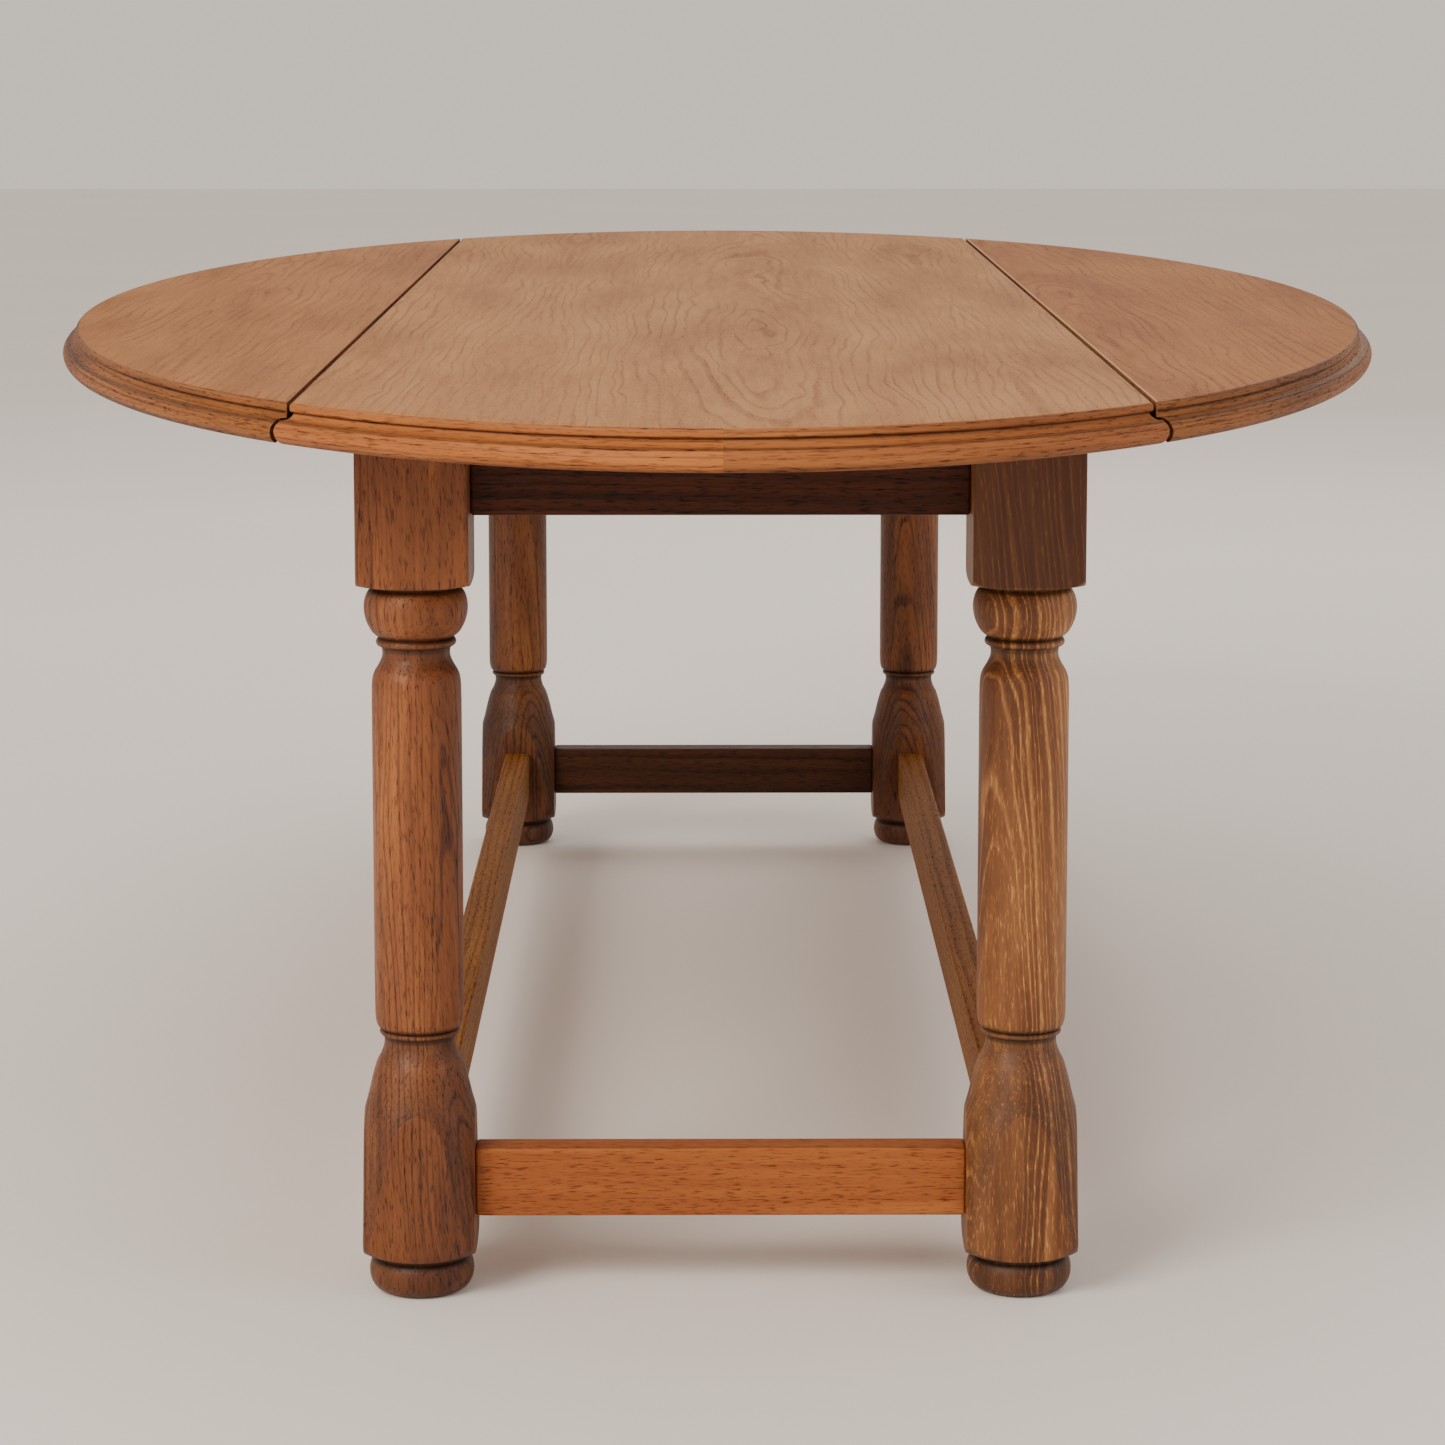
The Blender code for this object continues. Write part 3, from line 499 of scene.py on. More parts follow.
# %% The centre's lippings, sawn out of the ring with a mitre at each corner
BAR_REACH = 0.75  # longer than a seam, so that the mitres saw both ends
pieces = {}
point, normal = mitre(SEAM, SEAM - LIPPING, -1)
end = copy_of(ring)
saw(end, (0, 0, 0), (0, 1, 0))
saw(end, (HAIR, 0, 0), (-1, 0, 0))
saw(end, point - normal * HAIR, normal)
pieces["centre_edge_front_right"] = close_up(end, "centre_edge_front_right")
side_bar = strip("centre_edge_right", SEAM - LIPPING, moulding, BAR_REACH)
for side_y in (-1, 1):
    point, normal = mitre(SEAM, SEAM - LIPPING, side_y)
    saw(side_bar, point, -normal)
pieces["centre_edge_right"] = close_up(side_bar, "centre_edge_right")
for name, obj in pieces.items():
    print(name, len(obj.data.polygons), "faces", [round(v * 1000, 1) for v in obj.dimensions])

# %% The leaf's curved lipping, with the seam's hollow and a mitre cut out of it
LEAF_LIP = SEAM + SEAM_GAP
curve = copy_of(ring)
saw(curve, (0, -HAIR, 0), (0, 1, 0))
saw(curve, (0, 0, 0), (-1, 0, 0))
cut_with(curve, seam_cutter, keep=True)
corner = Vector((LEAF_LIP, -oval_y(LEAF_LIP), 0))
root = Vector((SEAM + LIPPING, -oval_y(SEAM + LIPPING, -LIPPING), 0))
beyond = corner * 2 - root
inside_y = 0.05  # a line past the middle of the table
wedge_corners = (beyond.xy, root.xy, (beyond.x, inside_y), (root.x, inside_y))
begin()
bpy.ops.mesh.primitive_plane_add(size=1, location=(0, 0, HEIGHT + PAST))
wedge = bpy.context.object
for vertex, (x, y) in zip(wedge.data.vertices, wedge_corners):
    vertex.co = (x, y, 0)
cut_with(curve, draw_down(wedge, [(1, 1, HEIGHT + PAST), (1, 1, UNDERSIDE - PAST)], (0, 0)))
pieces["leaf_right_edge_front"] = close_up(curve, "leaf_right_edge_front")
print("leaf lipping", len(curve.data.polygons), "faces", [round(v * 1000, 1) for v in curve.dimensions])

# %% The leaf's hollowed strip along the seam
leaf_bar = strip("leaf_right_joint_strip", SEAM + LIPPING, hollow_line, BAR_REACH)
for side_y in (-1, 1):
    point, normal = mitre(LEAF_LIP, SEAM + LIPPING, side_y)
    away = normal if normal.y * side_y > 0 else -normal
    saw(leaf_bar, point, away)
pieces["leaf_right_joint_strip"] = close_up(leaf_bar, "leaf_right_joint_strip")
for obj in (seam_cutter, ring):
    bpy.data.objects.remove(obj)
print("seam strip", len(leaf_bar.data.polygons), "faces", [round(v * 1000, 1) for v in leaf_bar.dimensions])

# %% [markdown]
# ## The veneered panels
# The panels lie flush inside the lipping, so they are plain ovals sawn straight along the seams. The face
# veneer runs on over the lipping to the rounded lip, so its flat upper side gets the same finish later.

# %% Panels
panel_sides = [(-LIPPING - HAIR, HEIGHT), (-LIPPING - HAIR, UNDERSIDE)]
panel = oval("centre_panel_veneered", panel_sides)
leaf_board = copy_of(panel)
saw(panel, (SEAM - LIPPING - HAIR, 0, 0), (1, 0, 0))
saw(panel, (-SEAM + LIPPING + HAIR, 0, 0), (-1, 0, 0))
pieces["centre_panel"] = close_up(panel, "centre_panel_veneered")
saw(leaf_board, (SEAM + LIPPING + HAIR, 0, 0), (-1, 0, 0))
pieces["leaf_right_panel"] = close_up(leaf_board, "leaf_right_panel_veneered")
print("panels", [[round(v * 1000) for v in obj.dimensions] for obj in (panel, leaf_board)], "mm")

# %% Twins across the table
pieces["centre_edge_front_left"] = mirrored(pieces["centre_edge_front_right"], "front_left_lipping", "x")
pieces["centre_edge_back_right"] = mirrored(pieces["centre_edge_front_right"], "back_right_lipping", "y")
pieces["centre_edge_back_left"] = mirrored(pieces["centre_edge_front_left"], "back_left_lipping", "y")
pieces["centre_edge_left"] = mirrored(pieces["centre_edge_right"], "left_side_moulding", "x")
pieces["leaf_right_edge_back"] = mirrored(pieces["leaf_right_edge_front"], "right_leaf_back_lipping", "y")
pieces["leaf_left_edge_front"] = mirrored(pieces["leaf_right_edge_front"], "left_leaf_front_lipping", "x")
pieces["leaf_left_edge_back"] = mirrored(pieces["leaf_left_edge_front"], "left_leaf_back_lipping", "y")
pieces["leaf_left_joint_strip"] = mirrored(pieces["leaf_right_joint_strip"], "left_leaf_joint", "x")
pieces["leaf_left_panel"] = mirrored(pieces["leaf_right_panel"], "left_leaf_veneered", "x")
NEW_NAMES = {"centre_edge_front_right": "front_right_lipping", "centre_edge_right": "right_side_moulding",
             "leaf_right_edge_front": "right_leaf_front_lipping", "leaf_right_panel": "right_leaf_veneered",
             "leaf_right_joint_strip": "right_leaf_joint", "centre_panel": "centre_veneered"}
for node, name in NEW_NAMES.items():
    pieces[node].name = name
print(len(pieces), "pieces of the top")


# %% [markdown]
# ## Which way the wood runs
# The lippings bend round the oval, and the oak in them is sawn to the curve in short lengths, so its grain
# follows the edge. Each point gets its own wood coordinates: across the lipping, through it, and along it.

# %% Grain that follows the edge
GRAIN_APART = 3.1  # metres along the log between one lipping and the next


def lay_grain(obj, start):
    """Stores (across, up, along) for each point of a curved lipping, in metres."""
    layer = obj.data.attributes.new("grain", "FLOAT_VECTOR", "POINT")
    turns = 720
    lengths = [0.0]
    for i in range(turns):
        a, b = (2 * math.pi * k / turns for k in (i, i + 1))
        lengths.append(lengths[-1] + math.hypot(HALF_X * (math.cos(b) - math.cos(a)),
                                                HALF_Y * (math.sin(b) - math.sin(a))))
    for vertex, value in zip(obj.data.vertices, layer.data):
        x, y, z = vertex.co
        angle = math.atan2(y / HALF_Y, x / HALF_X) % (2 * math.pi)
        place = angle / (2 * math.pi) * turns
        i = min(int(place), turns - 1)
        along = lengths[i] + (lengths[i + 1] - lengths[i]) * (place - i)
        across = (math.hypot(x / HALF_X, y / HALF_Y) - 1) * HALF_X
        value.vector = (across, z - HEIGHT, along + start)


curved = [node for node in pieces if "edge_front" in node or "edge_back" in node]
for number, node in enumerate(curved):
    lay_grain(pieces[node], number * GRAIN_APART)
print("grain laid on", curved)

# %% [markdown]
# ## Rails and stretchers
# The rails under the top and the stretchers near the floor are planed square, and their sharp edges are
# eased with one pass of a plane. Their tenons are out of sight inside the legs. The side rails keep the
# frame's own shape, with the notches that the lopers slide through.


# %% Planed bars with eased edges
BAR_EASE = 0.0012
SHOULDER = 0.0002  # the fine line where a bar meets a leg


def planed(node, name, reach):
    """A bar with the node's section, trimmed to the faces of the legs, with eased edges."""
    low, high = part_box(node)
    long = 0 if high.x - low.x > high.y - low.y else 1
    size = high - low
    size[long] = 2 * reach
    middle = (low + high) / 2
    middle[long] = 0
    begin()
    bpy.ops.mesh.primitive_cube_add(size=1, location=middle, scale=size)
    bar = close_up(bpy.context.object, name)
    apply(bar, "BEVEL", width=BAR_EASE, segments=2, limit_method="ANGLE")
    return close_up(bar, name, 40)


leg_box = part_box("leg_front_right")
gap_x = leg_box[0].x - SHOULDER
gap_y = -leg_box[1].y - SHOULDER
BARS = (("rail_front", "front_apron", gap_x), ("rail_back", "back_apron", gap_x),
        ("stretcher_front", "front_stretcher", gap_x), ("stretcher_back", "back_stretcher", gap_x),
        ("stretcher_left", "left_stretcher", gap_y), ("stretcher_right", "right_stretcher", gap_y))
bars = {}
for node, name, reach in BARS:
    bars[node] = planed(node, name, reach)
    print(name, [round(v * 1000, 1) for v in bars[node].dimensions])

# %% [markdown]
# ## Finishes for each part
# One recipe makes every oak here. What changes is how the tree was cut and how dark the stain took: pale and
# low in contrast on the flat veneer, mid brown with strong rings on the turned legs, near black brown on the
# rails under the top. Painted shade darkens the grooves, the moulding's recesses, the back legs low down and
# the back stretcher, and painted light pales the back right leg. The veneer is worn and nearly matt, and the
# edges and legs keep a little wax.


# %% Crown-cut veneer
def crown_cut(width, shift, depth, slope):
    """Veneer leaves laid side by side and book-matched, sliced so that the rings close into tall arches."""

    def slice_up(tree, wood):
        parts = add(tree, "ShaderNodeSeparateXYZ", {0: wood})
        moved = add(tree, "ShaderNodeMath", {0: parts.outputs["X"], 1: shift}).outputs[0]
        folded = add(tree, "ShaderNodeMath", {0: moved, 1: width}, operation="PINGPONG").outputs[0]
        centred = add(tree, "ShaderNodeMath", {0: folded, 1: width / 2}, operation="SUBTRACT").outputs[0]
        deep = add(tree, "ShaderNodeMath", {0: parts.outputs["Z"], 1: slope, 2: depth},
                   operation="MULTIPLY_ADD")
        across = {"X": centred, "Y": deep.outputs[0], "Z": parts.outputs["Z"]}
        return add(tree, "ShaderNodeCombineXYZ", across).outputs[0]

    return slice_up


# %% The worn inner edge of the right leaf
def worn_seam(tree, place, colour):
    """The lacquer worn through to pale wood along the right leaf's inner edge."""
    x = add(tree, "ShaderNodeSeparateXYZ", {0: place}).outputs["X"]
    away = add(tree, "ShaderNodeMath", {0: x, 1: SEAM + 0.0018}, operation="SUBTRACT").outputs[0]
    away = add(tree, "ShaderNodeMath", {0: away}, operation="ABSOLUTE").outputs[0]
    worn = add(tree, "ShaderNodeMapRange", {"Value": away, "From Min": 0.0006, "From Max": 0.0013,
                                            "To Min": 0.45, "To Max": 0.0}).outputs[0]
    mixed = add(tree, "ShaderNodeMix", {"Factor": worn, "A": colour, "B": linear("D9B68C")}, data_type="RGBA")
    return mixed.outputs["Result"]


# %% Three veneered boards
VENEER = ("6C4425", "93633B", "A9784B", "BA895A")
LEFT_VENEER = ("653D20", "8D5B34", "A36E42", "B57F51")
RIGHT_VENEER = ("5F3618", "87532C", "9D6638", "B07846")
FLAT = {"rough": 0.6, "gloss": 0.05, "mottle": 0.62, "pores": 0.14, "rings": 0.27,
        "fade": 0.85, "line": 0.35}
centre_oak = oak("crown_cut_oak_veneer_centre", "y", (0, 0, 0), 6.5, VENEER, 1.0, wander=0.024,
                 board=crown_cut(0.25, 0.105, 0.010, 0.050), **FLAT)
left_oak = oak("crown_cut_oak_veneer_left", "y", (0, 0, 0), 6.0, LEFT_VENEER, 2.0, wander=0.020,
               board=crown_cut(0.19, 0.02, 0.01, 0.040), **FLAT)
right_oak = oak("crown_cut_oak_veneer_right", "y", (0, 0, 0), 6.0, RIGHT_VENEER, 3.0, wander=0.020,
                layers=worn_seam, board=crown_cut(0.19, 0.07, 0.012, 0.045), **FLAT)
print("veneers", [veneer.name for veneer in (centre_oak, left_oak, right_oak)])


# %% Painted shade in grooves
def painted_groove_shade(grooves, axis="Z"):
    """Painted shade in grooves, given as (height, half width, share of light left)."""

    def darken(tree, place, colour):
        z = add(tree, "ShaderNodeSeparateXYZ", {0: place}).outputs[axis]
        shade = None
        for height, width, left in grooves:
            away = add(tree, "ShaderNodeMath", {0: z, 1: height}, operation="SUBTRACT").outputs[0]
            away = add(tree, "ShaderNodeMath", {0: away}, operation="ABSOLUTE").outputs[0]
            # Each band darkens the colour as painted shade inside one groove.
            edge = {"Value": away, "From Min": width / 4, "From Max": width, "To Min": left, "To Max": 1.0}
            here = add(tree, "ShaderNodeMapRange", edge, interpolation_type="SMOOTHSTEP").outputs[0]
            if shade is not None:
                here = add(tree, "ShaderNodeMath", {0: shade, 1: here}, operation="MULTIPLY").outputs[0]
            shade = here
        return add(tree, "ShaderNodeVectorMath", {0: colour, "Scale": shade}, operation="SCALE").outputs[0]

    return darken


# %% Lipping oak, along straight edges and along curves
LIP_TONES = ("4A220C", "8E5024", "B26E38", "D49458")
DULL_LIP_TONES = ("401D0B", "7E4620", "A06234", "C08650")
DARK_LIP_TONES = ("2C1406", "623413", "8C5424", "B27C42")
# Painted shade in the moulding's recesses, as (depth below the surface, half width, share of light left).
LIPPING_SHADE_BANDS = ((-0.0010, 0.0024, 0.85), (-0.0045, 0.0010, 0.4), (-0.0087, 0.0008, 0.5),
                (-0.0185, 0.0025, 0.7))
# The curved lippings get this painted shade in their recesses.
painted_lipping_shade = painted_groove_shade(LIPPING_SHADE_BANDS, "Y")
lip_look = {"gloss": 0.22, "coords": "grain", "pores": 0.45, "wander": 0.006, "mottle": 0.7,
            "layers": painted_lipping_shade}
curved_oak = oak("moulded_oak_lipping", "z", (0.01, -0.06, 0), 4.0, LIP_TONES, 4.0, **lip_look)
dull_oak = oak("moulded_oak_lipping_dull", "z", (0.02, -0.04, 0), 4.0, DULL_LIP_TONES, 4.6, **lip_look)
leaf_lip_oak = oak("moulded_oak_leaf_lipping", "z", (0.02, -0.05, 0), 4.0, DARK_LIP_TONES, 5.0, **lip_look)
seam_oak = oak("oak_seam_moulding", "y", (0.19, 0.36, 0), 4.0, DARK_LIP_TONES, 6.0, pores=0.5)
print("lippings", [lip.name for lip in (curved_oak, dull_oak, leaf_lip_oak, seam_oak)])

# %% [markdown]
# ## Painted shade on the legs
# Every groove on the turnings is painted darker, as painted shade where the light does not reach in.


# %% Painted shade in the grooves
# Painted shade: one band for each groove of a leg, as (height, half width, share of light left).
LEG_GROOVE_SHADE = ((0.357, 0.0030, 0.35), (0.3318, 0.0026, 0.35), (0.3268, 0.0030, 0.4), (0.3215, 0.0060, 0.75),
           (0.1345, 0.0026, 0.35), (0.1302, 0.0026, 0.35), (0.1255, 0.0090, 0.7), (0.0168, 0.0028, 0.3))
# Painted shade in every groove of the legs.
painted_leg_groove_shade = painted_groove_shade(LEG_GROOVE_SHADE)
print("grooves on a leg at", [round(height * 1000) for height, width, left in LEG_GROOVE_SHADE], "mm")


# %% The darker block over one leg
def shaded_block(tree, place, colour):
    """The same painted shade in the grooves, and a block whose front took the stain darker."""
    colour = painted_leg_groove_shade(tree, place, colour)
    parts = add(tree, "ShaderNodeSeparateXYZ", {0: place})
    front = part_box("leg_front_right")[0].y
    face = add(tree, "ShaderNodeMapRange",
               {"Value": parts.outputs["Y"], "From Min": front + 0.0008, "From Max": front + 0.0022,
                "To Min": 1.0, "To Max": 0.0}).outputs[0]
    block = add(tree, "ShaderNodeMapRange",
                {"Value": parts.outputs["Z"], "From Min": 0.3585, "From Max": 0.3600}).outputs[0]
    here = add(tree, "ShaderNodeMath", {0: face, 1: block}, operation="MULTIPLY")
    here = add(tree, "ShaderNodeMath", {0: here.outputs[0], 1: 0.75}, operation="MULTIPLY").outputs[0]
    stain = add(tree, "ShaderNodeMix", {"Factor": here, "A": colour, "B": linear("401C0B")}, data_type="RGBA")
    return stain.outputs["Result"]


# %% A leaning tree
def leaning(along_x, along_y):
    """A tree that grew at a lean, so that its rings close into arches on the faces of the bar."""

    def lean(tree, wood):
        z = add(tree, "ShaderNodeSeparateXYZ", {0: wood}).outputs["Z"]
        off = add(tree, "ShaderNodeCombineXYZ", {"X": along_x, "Y": along_y})
        off = add(tree, "ShaderNodeVectorMath", {0: off.outputs[0], "Scale": z}, operation="SCALE").outputs[0]
        return add(tree, "ShaderNodeVectorMath", {0: wood, 1: off}).outputs[0]

    return lean


# %% Planed flats against turned corners
def planed_flats(corner, finish, corners, flats):
    """Low down, the bar's planed flats keep more colour than the turned corners, partly the wood's own paler
    flats and partly painted shade at the crease; the foot is darker towards the floor.
    """
    low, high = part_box(f"leg_{corner}")
    middle = (low + high) / 2
    half = (high.x - low.x) / 2

    def rub(tree, place, colour):
        colour = finish(tree, place, colour)
        out = add(tree, "ShaderNodeVectorMath", {0: place, 1: (middle.x, middle.y, 0)}, operation="SUBTRACT")
        out = add(tree, "ShaderNodeVectorMath", {0: out.outputs[0]}, operation="ABSOLUTE")
        parts = add(tree, "ShaderNodeSeparateXYZ", {0: out.outputs[0]})
        far = add(tree, "ShaderNodeMath", {0: parts.outputs["X"], 1: parts.outputs["Y"]}, operation="MAXIMUM")
        flat = add(tree, "ShaderNodeMapRange",
                   {"Value": far.outputs[0], "From Min": half - 0.0004, "From Max": half - 0.0001,
                    "To Min": corners, "To Max": flats})
        bell = add(tree, "ShaderNodeMapRange",
                   {"Value": parts.outputs["Z"], "From Min": 0.098, "From Max": 0.140}).outputs[0]
        foot = add(tree, "ShaderNodeMapRange",
                   {"Value": parts.outputs["Z"], "From Min": 0.017, "From Max": 0.024}).outputs[0]
        # Partly painted shade: low down, the corners and the flats are darkened by their shares.
        shade = add(tree, "ShaderNodeMix", {2: flat.outputs[0], 3: 1.0, 0: bell}).outputs[0]
        shade = add(tree, "ShaderNodeMix", {2: 0.62, 3: shade, 0: foot}).outputs[0]
        return add(tree, "ShaderNodeVectorMath", {0: colour, "Scale": shade}, operation="SCALE").outputs[0]

    return rub


# %% Four legs, each from its own tree
LEG_TONES = ("2C150A", "592E16", "7D4724", "A76935")
# Painted light: the back right leg's tones are paler, to brighten a leg that the top shades from the key
# light.
PAINTED_LIGHT_BACK_RIGHT_TONES = ("32190B", "66391C", "92562B", "BA7A40")
GOLD_TONES = ("381D0E", "63391D", "8A5830", "C08A4E")
BACK_TONES = ("1C0D06", "43220F", "6A3A1B", "95602F")
LEAN = (0.05, 0.07)
# The pith's place, out from the middle of each leg, in metres.
PITH = {"front_left": (0.052, -0.026), "front_right": (-0.050, -0.034), "back_left": (0.030, -0.055),
        "back_right": (-0.004, -0.058)}
TONES = {"front_left": LEG_TONES, "front_right": GOLD_TONES, "back_left": BACK_TONES,
         "back_right": PAINTED_LIGHT_BACK_RIGHT_TONES}
legs = {}
for number, (corner, (dx, dy)) in enumerate(PITH.items()):
    node = f"leg_{corner}"
    low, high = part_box(node)
    middle = (low + high) / 2
    one = copy_of(leg)
    one.location = (middle.x, middle.y, 0)
    legs[corner] = close_up(one, f"turned_leg_{corner}", 14)
    # The front right leg's pores and spring wood were filled pale, so its pattern is the other way round.
    right = corner == "front_right"
    # Share of colour kept on the turned corners and on the flats, low down; the back legs keep less, as
    # painted shade.
    low_shades = (0.66, 0.92) if "front" in corner else (0.52, 0.72)
    finish = planed_flats(corner, shaded_block if right else painted_leg_groove_shade, *low_shades)
    pith = (middle.x + dx, middle.y + dy, 0)
    wood = oak(f"turned_oak_{corner}", "z", pith, 3.4, TONES[corner], 7.0 + number, rough=0.5, coat=0.04,
               gloss=0.3, wander=0.018, mottle=1.0, pores=-0.42 if right else 0.5,
               rings=-0.36 if right else 0.32, fade=0.95, line=0.4, board=leaning(*LEAN), layers=finish)
    fit(legs[corner], "frame", "turned_legs", wood, node)
bpy.data.objects.remove(leg)

# %% Hang the top's pieces on their bodies
EDGE_OAK = {"centre_edge_front_right": dull_oak, "centre_edge_back_left": dull_oak}


def body_of(node):
    """The body that a piece of the top moves with."""
    return next((leaf for leaf in ("leaf_right", "leaf_left") if node.startswith(leaf)), "frame")


for node, piece in pieces.items():
    body = body_of(node)
    if node == "centre_panel":
        fit(piece, body, "veneer", centre_oak, node)
    elif node.endswith("panel"):
        fit(piece, body, "veneer", left_oak if "left" in node else right_oak, node)
    elif node in curved:
        fit(piece, body, "lipping", leaf_lip_oak if body != "frame" else EDGE_OAK.get(node, curved_oak), node)
    else:
        fit(piece, body, "lipping", seam_oak, node)
    # The face veneer runs on over a lipping's flat top, and a leaf's underside is plain oak.
    if not node.endswith("panel"):
        veneer = {"frame": centre_oak, "leaf_left": left_oak, "leaf_right": right_oak}[body]
        piece.data.materials.append(veneer)
        piece.data.materials.append(seam_oak)
        for face in piece.data.polygons:
            if face.normal.z > 0.99 and face.center.z > HEIGHT - 0.0001:
                face.material_index = 1
            elif body != "frame" and face.normal.z < -0.99:
                face.material_index = 2
print("top hung:", len(pieces))

# %% Rails and stretchers
APRON_TONES = ("150702", "311406", "4C230D", "744020")
ORANGE_TONES = ("582A10", "8C4A20", "A4602C", "B97840")
# Painted shade: the back stretcher's tones are darkened for the shade it stands in.
SHADOW_TONES = ("140803", "2E180B", "442410", "5F3920")
SIDE_TONES = ("46240A", "754418", "90602C", "A87B40")
apron_oak = oak("dark_stained_oak_apron", "x", (0.03, 0.05, 0), 3.4, APRON_TONES, 12.0)
side_rail_oak = oak("dark_stained_oak_side_rail", "y", (0.1, 0.3, 0), 3.4, APRON_TONES, 13.0)
orange_oak = oak("planed_oak_front_stretcher", "x", (0.02, 0.12, 0), 3.0, ORANGE_TONES, 14.0, rough=0.5,
                 gloss=0.25, mottle=0.3)
shadow_oak = oak("painted_shade_oak_back_stretcher", "x", (0.05, 0.12, 0), 3.4, SHADOW_TONES, 15.0)
side_oak = oak("planed_oak_side_stretcher", "y", (0.06, 0.1, 0), 3.2, SIDE_TONES, 16.0, rough=0.6,
               gloss=0.15, mottle=0.3)
BAR_OAK = {"rail_front": apron_oak, "rail_back": apron_oak, "stretcher_front": orange_oak,
           "stretcher_back": shadow_oak, "stretcher_left": side_oak, "stretcher_right": side_oak}
for node, bar in bars.items():
    fit(bar, "frame", "rails" if "rail" in node else "stretchers", BAR_OAK[node], node)
print("bars hung:", len(bars))

# %% [markdown]
# ## Out of sight underneath
# The lopers that carry the leaves, the guides they slide in and the braces in the corners are beech: pale,
# close grained and unstained, with short darker flecks. The hinges are pressed steel with a brass plating
# that has dulled, and their pins are drawn steel wire. Real beech flecks are half a millimetre wide, and the
# rubbing marks on metal are finer still, so both are drawn coarser than they are.


# %% Beech
def beech(name, along, seed):
    """Planed beech: an even pale wood with short brown flecks along the grain."""
    material, tree, shader = new_material(name)
    place = add(tree, "ShaderNodeTexCoord").outputs["Object"]
    stretch = (0.06, 1, 1) if along == "x" else (1, 1, 0.06)
    long = add(tree, "ShaderNodeMapping", {"Vector": place, "Location": (seed, seed, 0), "Scale": stretch})
    streak = add(tree, "ShaderNodeTexNoise", {"Vector": long.outputs[0], "Scale": 220.0, "Detail": 3.0})
    fleck = add(tree, "ShaderNodeTexVoronoi", {"Vector": long.outputs[0], "Scale": 420.0})
    flecks = add(tree, "ShaderNodeMapRange",
                 {"Value": fleck.outputs["Distance"], "From Min": 0.1, "From Max": 0.35}).outputs[0]
    tone = add(tree, "ShaderNodeMath", {0: flecks, 1: 0.35, 2: streak.outputs["Fac"]},
               operation="MULTIPLY_ADD")
    tone = add(tree, "ShaderNodeMath", {0: tone.outputs[0], 1: 0.3}, operation="SUBTRACT").outputs[0]
    colour = ramp(tree, tone, (0.0, "9C6F47"), (0.4, "BE9066"), (1.0, "D6AE83"))
    tree.links.new(colour, shader.inputs["Base Color"])
    bump = add(tree, "ShaderNodeBump", {"Height": tone, "Strength": 0.15, "Distance": 0.0002})
    tree.links.new(bump.outputs["Normal"], shader.inputs["Normal"])
    shader.inputs["Roughness"].default_value = 0.6
    return material


# %% Metal
def plated(name, clean, dull, rough, scratch):
    """Metal with a worn finish: fine scratches and dull clouds."""
    material, tree, shader = new_material(name)
    place = add(tree, "ShaderNodeTexCoord").outputs["Object"]
    cloud = add(tree, "ShaderNodeTexNoise", {"Vector": place, "Scale": 120.0, "Detail": 4.0})
    tint = ramp(tree, cloud.outputs["Fac"], (0.35, dull), (0.65, clean))
    fine = add(tree, "ShaderNodeMapping", {"Vector": place, "Scale": (1, 0.03, 1)})
    lines = add(tree, "ShaderNodeTexNoise", {"Vector": fine.outputs[0], "Scale": scratch, "Detail": 2.0})
    gloss = add(tree, "ShaderNodeMapRange", {"Value": lines.outputs["Fac"], "To Min": rough - 0.1,
                                             "To Max": rough + 0.2})
    tree.links.new(tint, shader.inputs["Base Color"])
    tree.links.new(gloss.outputs[0], shader.inputs["Roughness"])
    shader.inputs["Metallic"].default_value = 1.0
    return material


# %% The finishes for the pieces underneath
loper_beech = beech("planed_beech_loper", "x", 0.2)
brace_beech = beech("planed_beech_brace", "x", 0.7)
stop_beech = beech("turned_beech_stop", "z", 1.3)
brass = plated("brass_plated_steel", "C9A55C", "8C6B35", 0.36, 900.0)
dull_brass = plated("tarnished_brass_screw", "A58448", "5A4420", 0.45, 900.0)
steel = plated("drawn_steel_wire", "B9B9B6", "7F7F7C", 0.3, 1500.0)
print("beeches", loper_beech.name, brace_beech.name, stop_beech.name, "metals", brass.name, steel.name)


# %% Finish the pieces kept from the frame
def finish_of(node):
    """The finish for a piece that keeps the frame's own shape."""
    if node.startswith("loper_stop"):
        return stop_beech
    if node.startswith("loper"):
        return loper_beech
    if node.startswith("corner_brace"):
        return brace_beech
    if node.startswith("hinge"):
        return steel if node.endswith("pin") else brass
    return side_rail_oak


replaced = set(pieces) | set(bars) | {f"leg_{corner}" for corner in legs}
kept = [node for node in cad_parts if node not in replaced]
for node in kept:
    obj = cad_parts[node]
    obj.data.materials.clear()
    obj.data.materials.append(finish_of(node))
print("kept from the frame:", len(kept), "nodes")

# %% [markdown]
# ## Hinge screws
# Each flap is held up by three slotted screws, with their heads almost flush in the plate. One head is drawn
# from a short cylinder, bevelled and with its slot sawn across. Its copies are turned to stop at different
# angles, as driven screws do.

# %% One slotted head
SCREW_RADIUS = 0.0031
SCREW_DEPTH = 0.0012
SLOT = (0.0007, 0.01, 0.0008)
begin()
bpy.ops.mesh.primitive_cylinder_add(vertices=40, radius=SCREW_RADIUS, depth=SCREW_DEPTH)
head = apply(bpy.context.object, "BEVEL", width=0.0003, segments=2, limit_method="ANGLE")
begin()
bpy.ops.mesh.primitive_cube_add(size=1, location=(0, 0, -SCREW_DEPTH / 2), scale=SLOT)
cut_with(head, bpy.context.object)
print("screw head:", len(head.data.polygons), "faces")

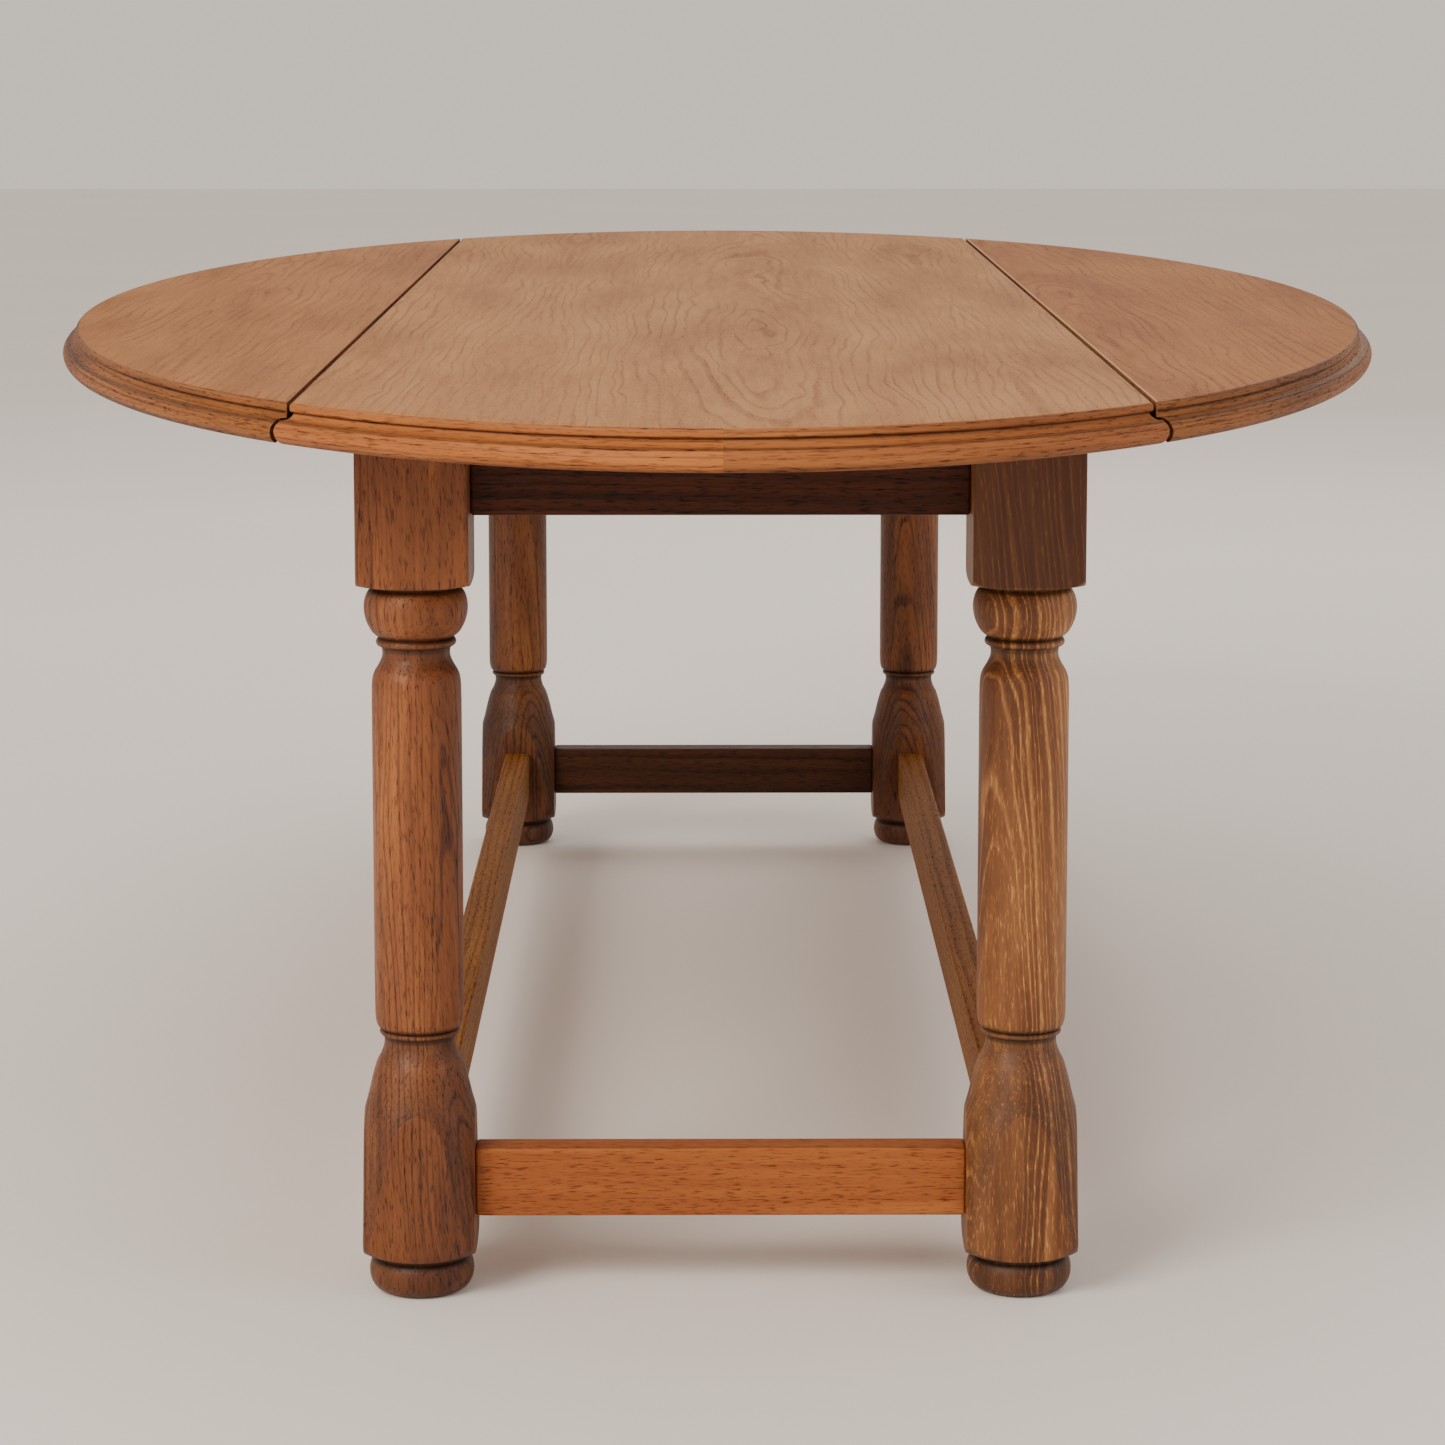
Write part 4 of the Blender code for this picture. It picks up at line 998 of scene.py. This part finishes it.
# %% Three heads in each flap
SCREW_PLACES = ((0.0235, -0.021), (0.0110, 0.0), (0.0235, 0.021))  # out from the pin and along it
HEAD_DOWN = 0.0015  # from the top of a flap to the middle of a head
flaps = [node for node in kept if node.endswith("flap")]
for number, node in enumerate(flaps):
    low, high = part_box(node)
    pin_low, pin_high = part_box(node.replace("fixed_flap", "pin").replace("moving_flap", "pin"))
    pin = (pin_low + pin_high) / 2
    out = 1 if (low.x + high.x) / 2 > pin.x else -1
    heads = []
    for turn, (across, along) in enumerate(SCREW_PLACES):
        screw = copy_of(head)
        screw.location = (pin.x + out * across, pin.y + along, high.z - HEAD_DOWN)
        screw.rotation_euler.z = number * 2.1 + turn * 1.3
        heads.append(screw)
    begin()
    for screw in heads:
        screw.select_set(True)
    bpy.context.view_layer.objects.active = heads[0]
    bpy.ops.object.join()
    name = node.replace("flap", "screws")
    body = "frame" if "fixed" in node else "leaf_left" if "left" in node else "leaf_right"
    fit(close_up(heads[0], name, 30), body, "hinge_flaps", dull_brass)
bpy.data.objects.remove(head)
print("screws in", len(flaps), "flaps")

# %% [markdown]
# ## The studio
# A pale floor, a large soft light from the front left, a weaker one from the right and a pale surround.
# The camera stands low at the end of the table, with a long lens.

# %% Floor
FLOOR_DOWN = 0.0005  # just under the feet
begin()
bpy.ops.mesh.primitive_plane_add(size=24, location=(0, 0, -FLOOR_DOWN))
floor = bpy.context.object
floor.name = "studio_floor"
pale, tree, shader = new_material("pale_studio_floor")
place = add(tree, "ShaderNodeTexCoord").outputs["Object"]
cloud = add(tree, "ShaderNodeTexNoise", {"Vector": place, "Scale": 1.5, "Detail": 2.0})
paint = ramp(tree, cloud.outputs["Fac"], (0.3, "EFECE7"), (0.7, "F3F0EC"))
tree.links.new(paint, shader.inputs["Base Color"])
shader.inputs["Roughness"].default_value = 0.7
floor.data.materials.append(pale)
floor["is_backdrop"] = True
print("floor", round(floor.dimensions.x), "m square")


# %% Lights
def soft_light(name, place, target, width, power, code):
    """A square soft light that faces a point."""
    begin()
    bpy.ops.object.light_add(type="AREA", location=place)
    lamp = bpy.context.object
    lamp.name = name
    lamp.data.size = width
    lamp.data.energy = power
    lamp.data.color = linear(code)[:3]
    lamp.rotation_euler = (Vector(target) - Vector(place)).to_track_quat("-Z", "Y").to_euler()
    return lamp


soft_light("key_front_left", (-1.9, -2.6, 2.1), (0, -0.2, 0.2), 1.6, 95, "FFF4E6")
soft_light("fill_right", (2.6, -1.6, 1.5), (0, 0, 0.2), 1.8, 18, "F2F4FF")
soft_light("back_top", (0.4, 2.6, 2.2), (0, 0.2, 0.3), 2.0, 22, "FFF8F0")
world = bpy.data.worlds.new("pale_surround")
bpy.context.scene.world = world
world.use_nodes = True
background = world.node_tree.nodes["Background"]
background.inputs["Color"].default_value = linear("F6EADF")
background.inputs["Strength"].default_value = 0.9

# %% Camera
TILT_DOWN = math.radians(7.24)
TURN = math.radians(-0.31)
begin()
bpy.ops.object.camera_add(location=(-0.0096, -2.5055, 0.6392), rotation=(math.pi / 2 - TILT_DOWN, 0, TURN))
camera = bpy.context.object
camera.data.sensor_width = 36
camera.data.lens = 99.65
camera.data.shift_y = -0.141
bpy.context.scene.camera = camera
print("camera", round(camera.location.length, 2), "m away,", round(camera.data.lens), "mm lens")

# %% Compare the sizes and finish
low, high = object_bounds()
print("visual", [round(v * 1000, 1) for v in high - low],
      "frame", [round(v * 1000, 1) for v in cad_high - cad_low])
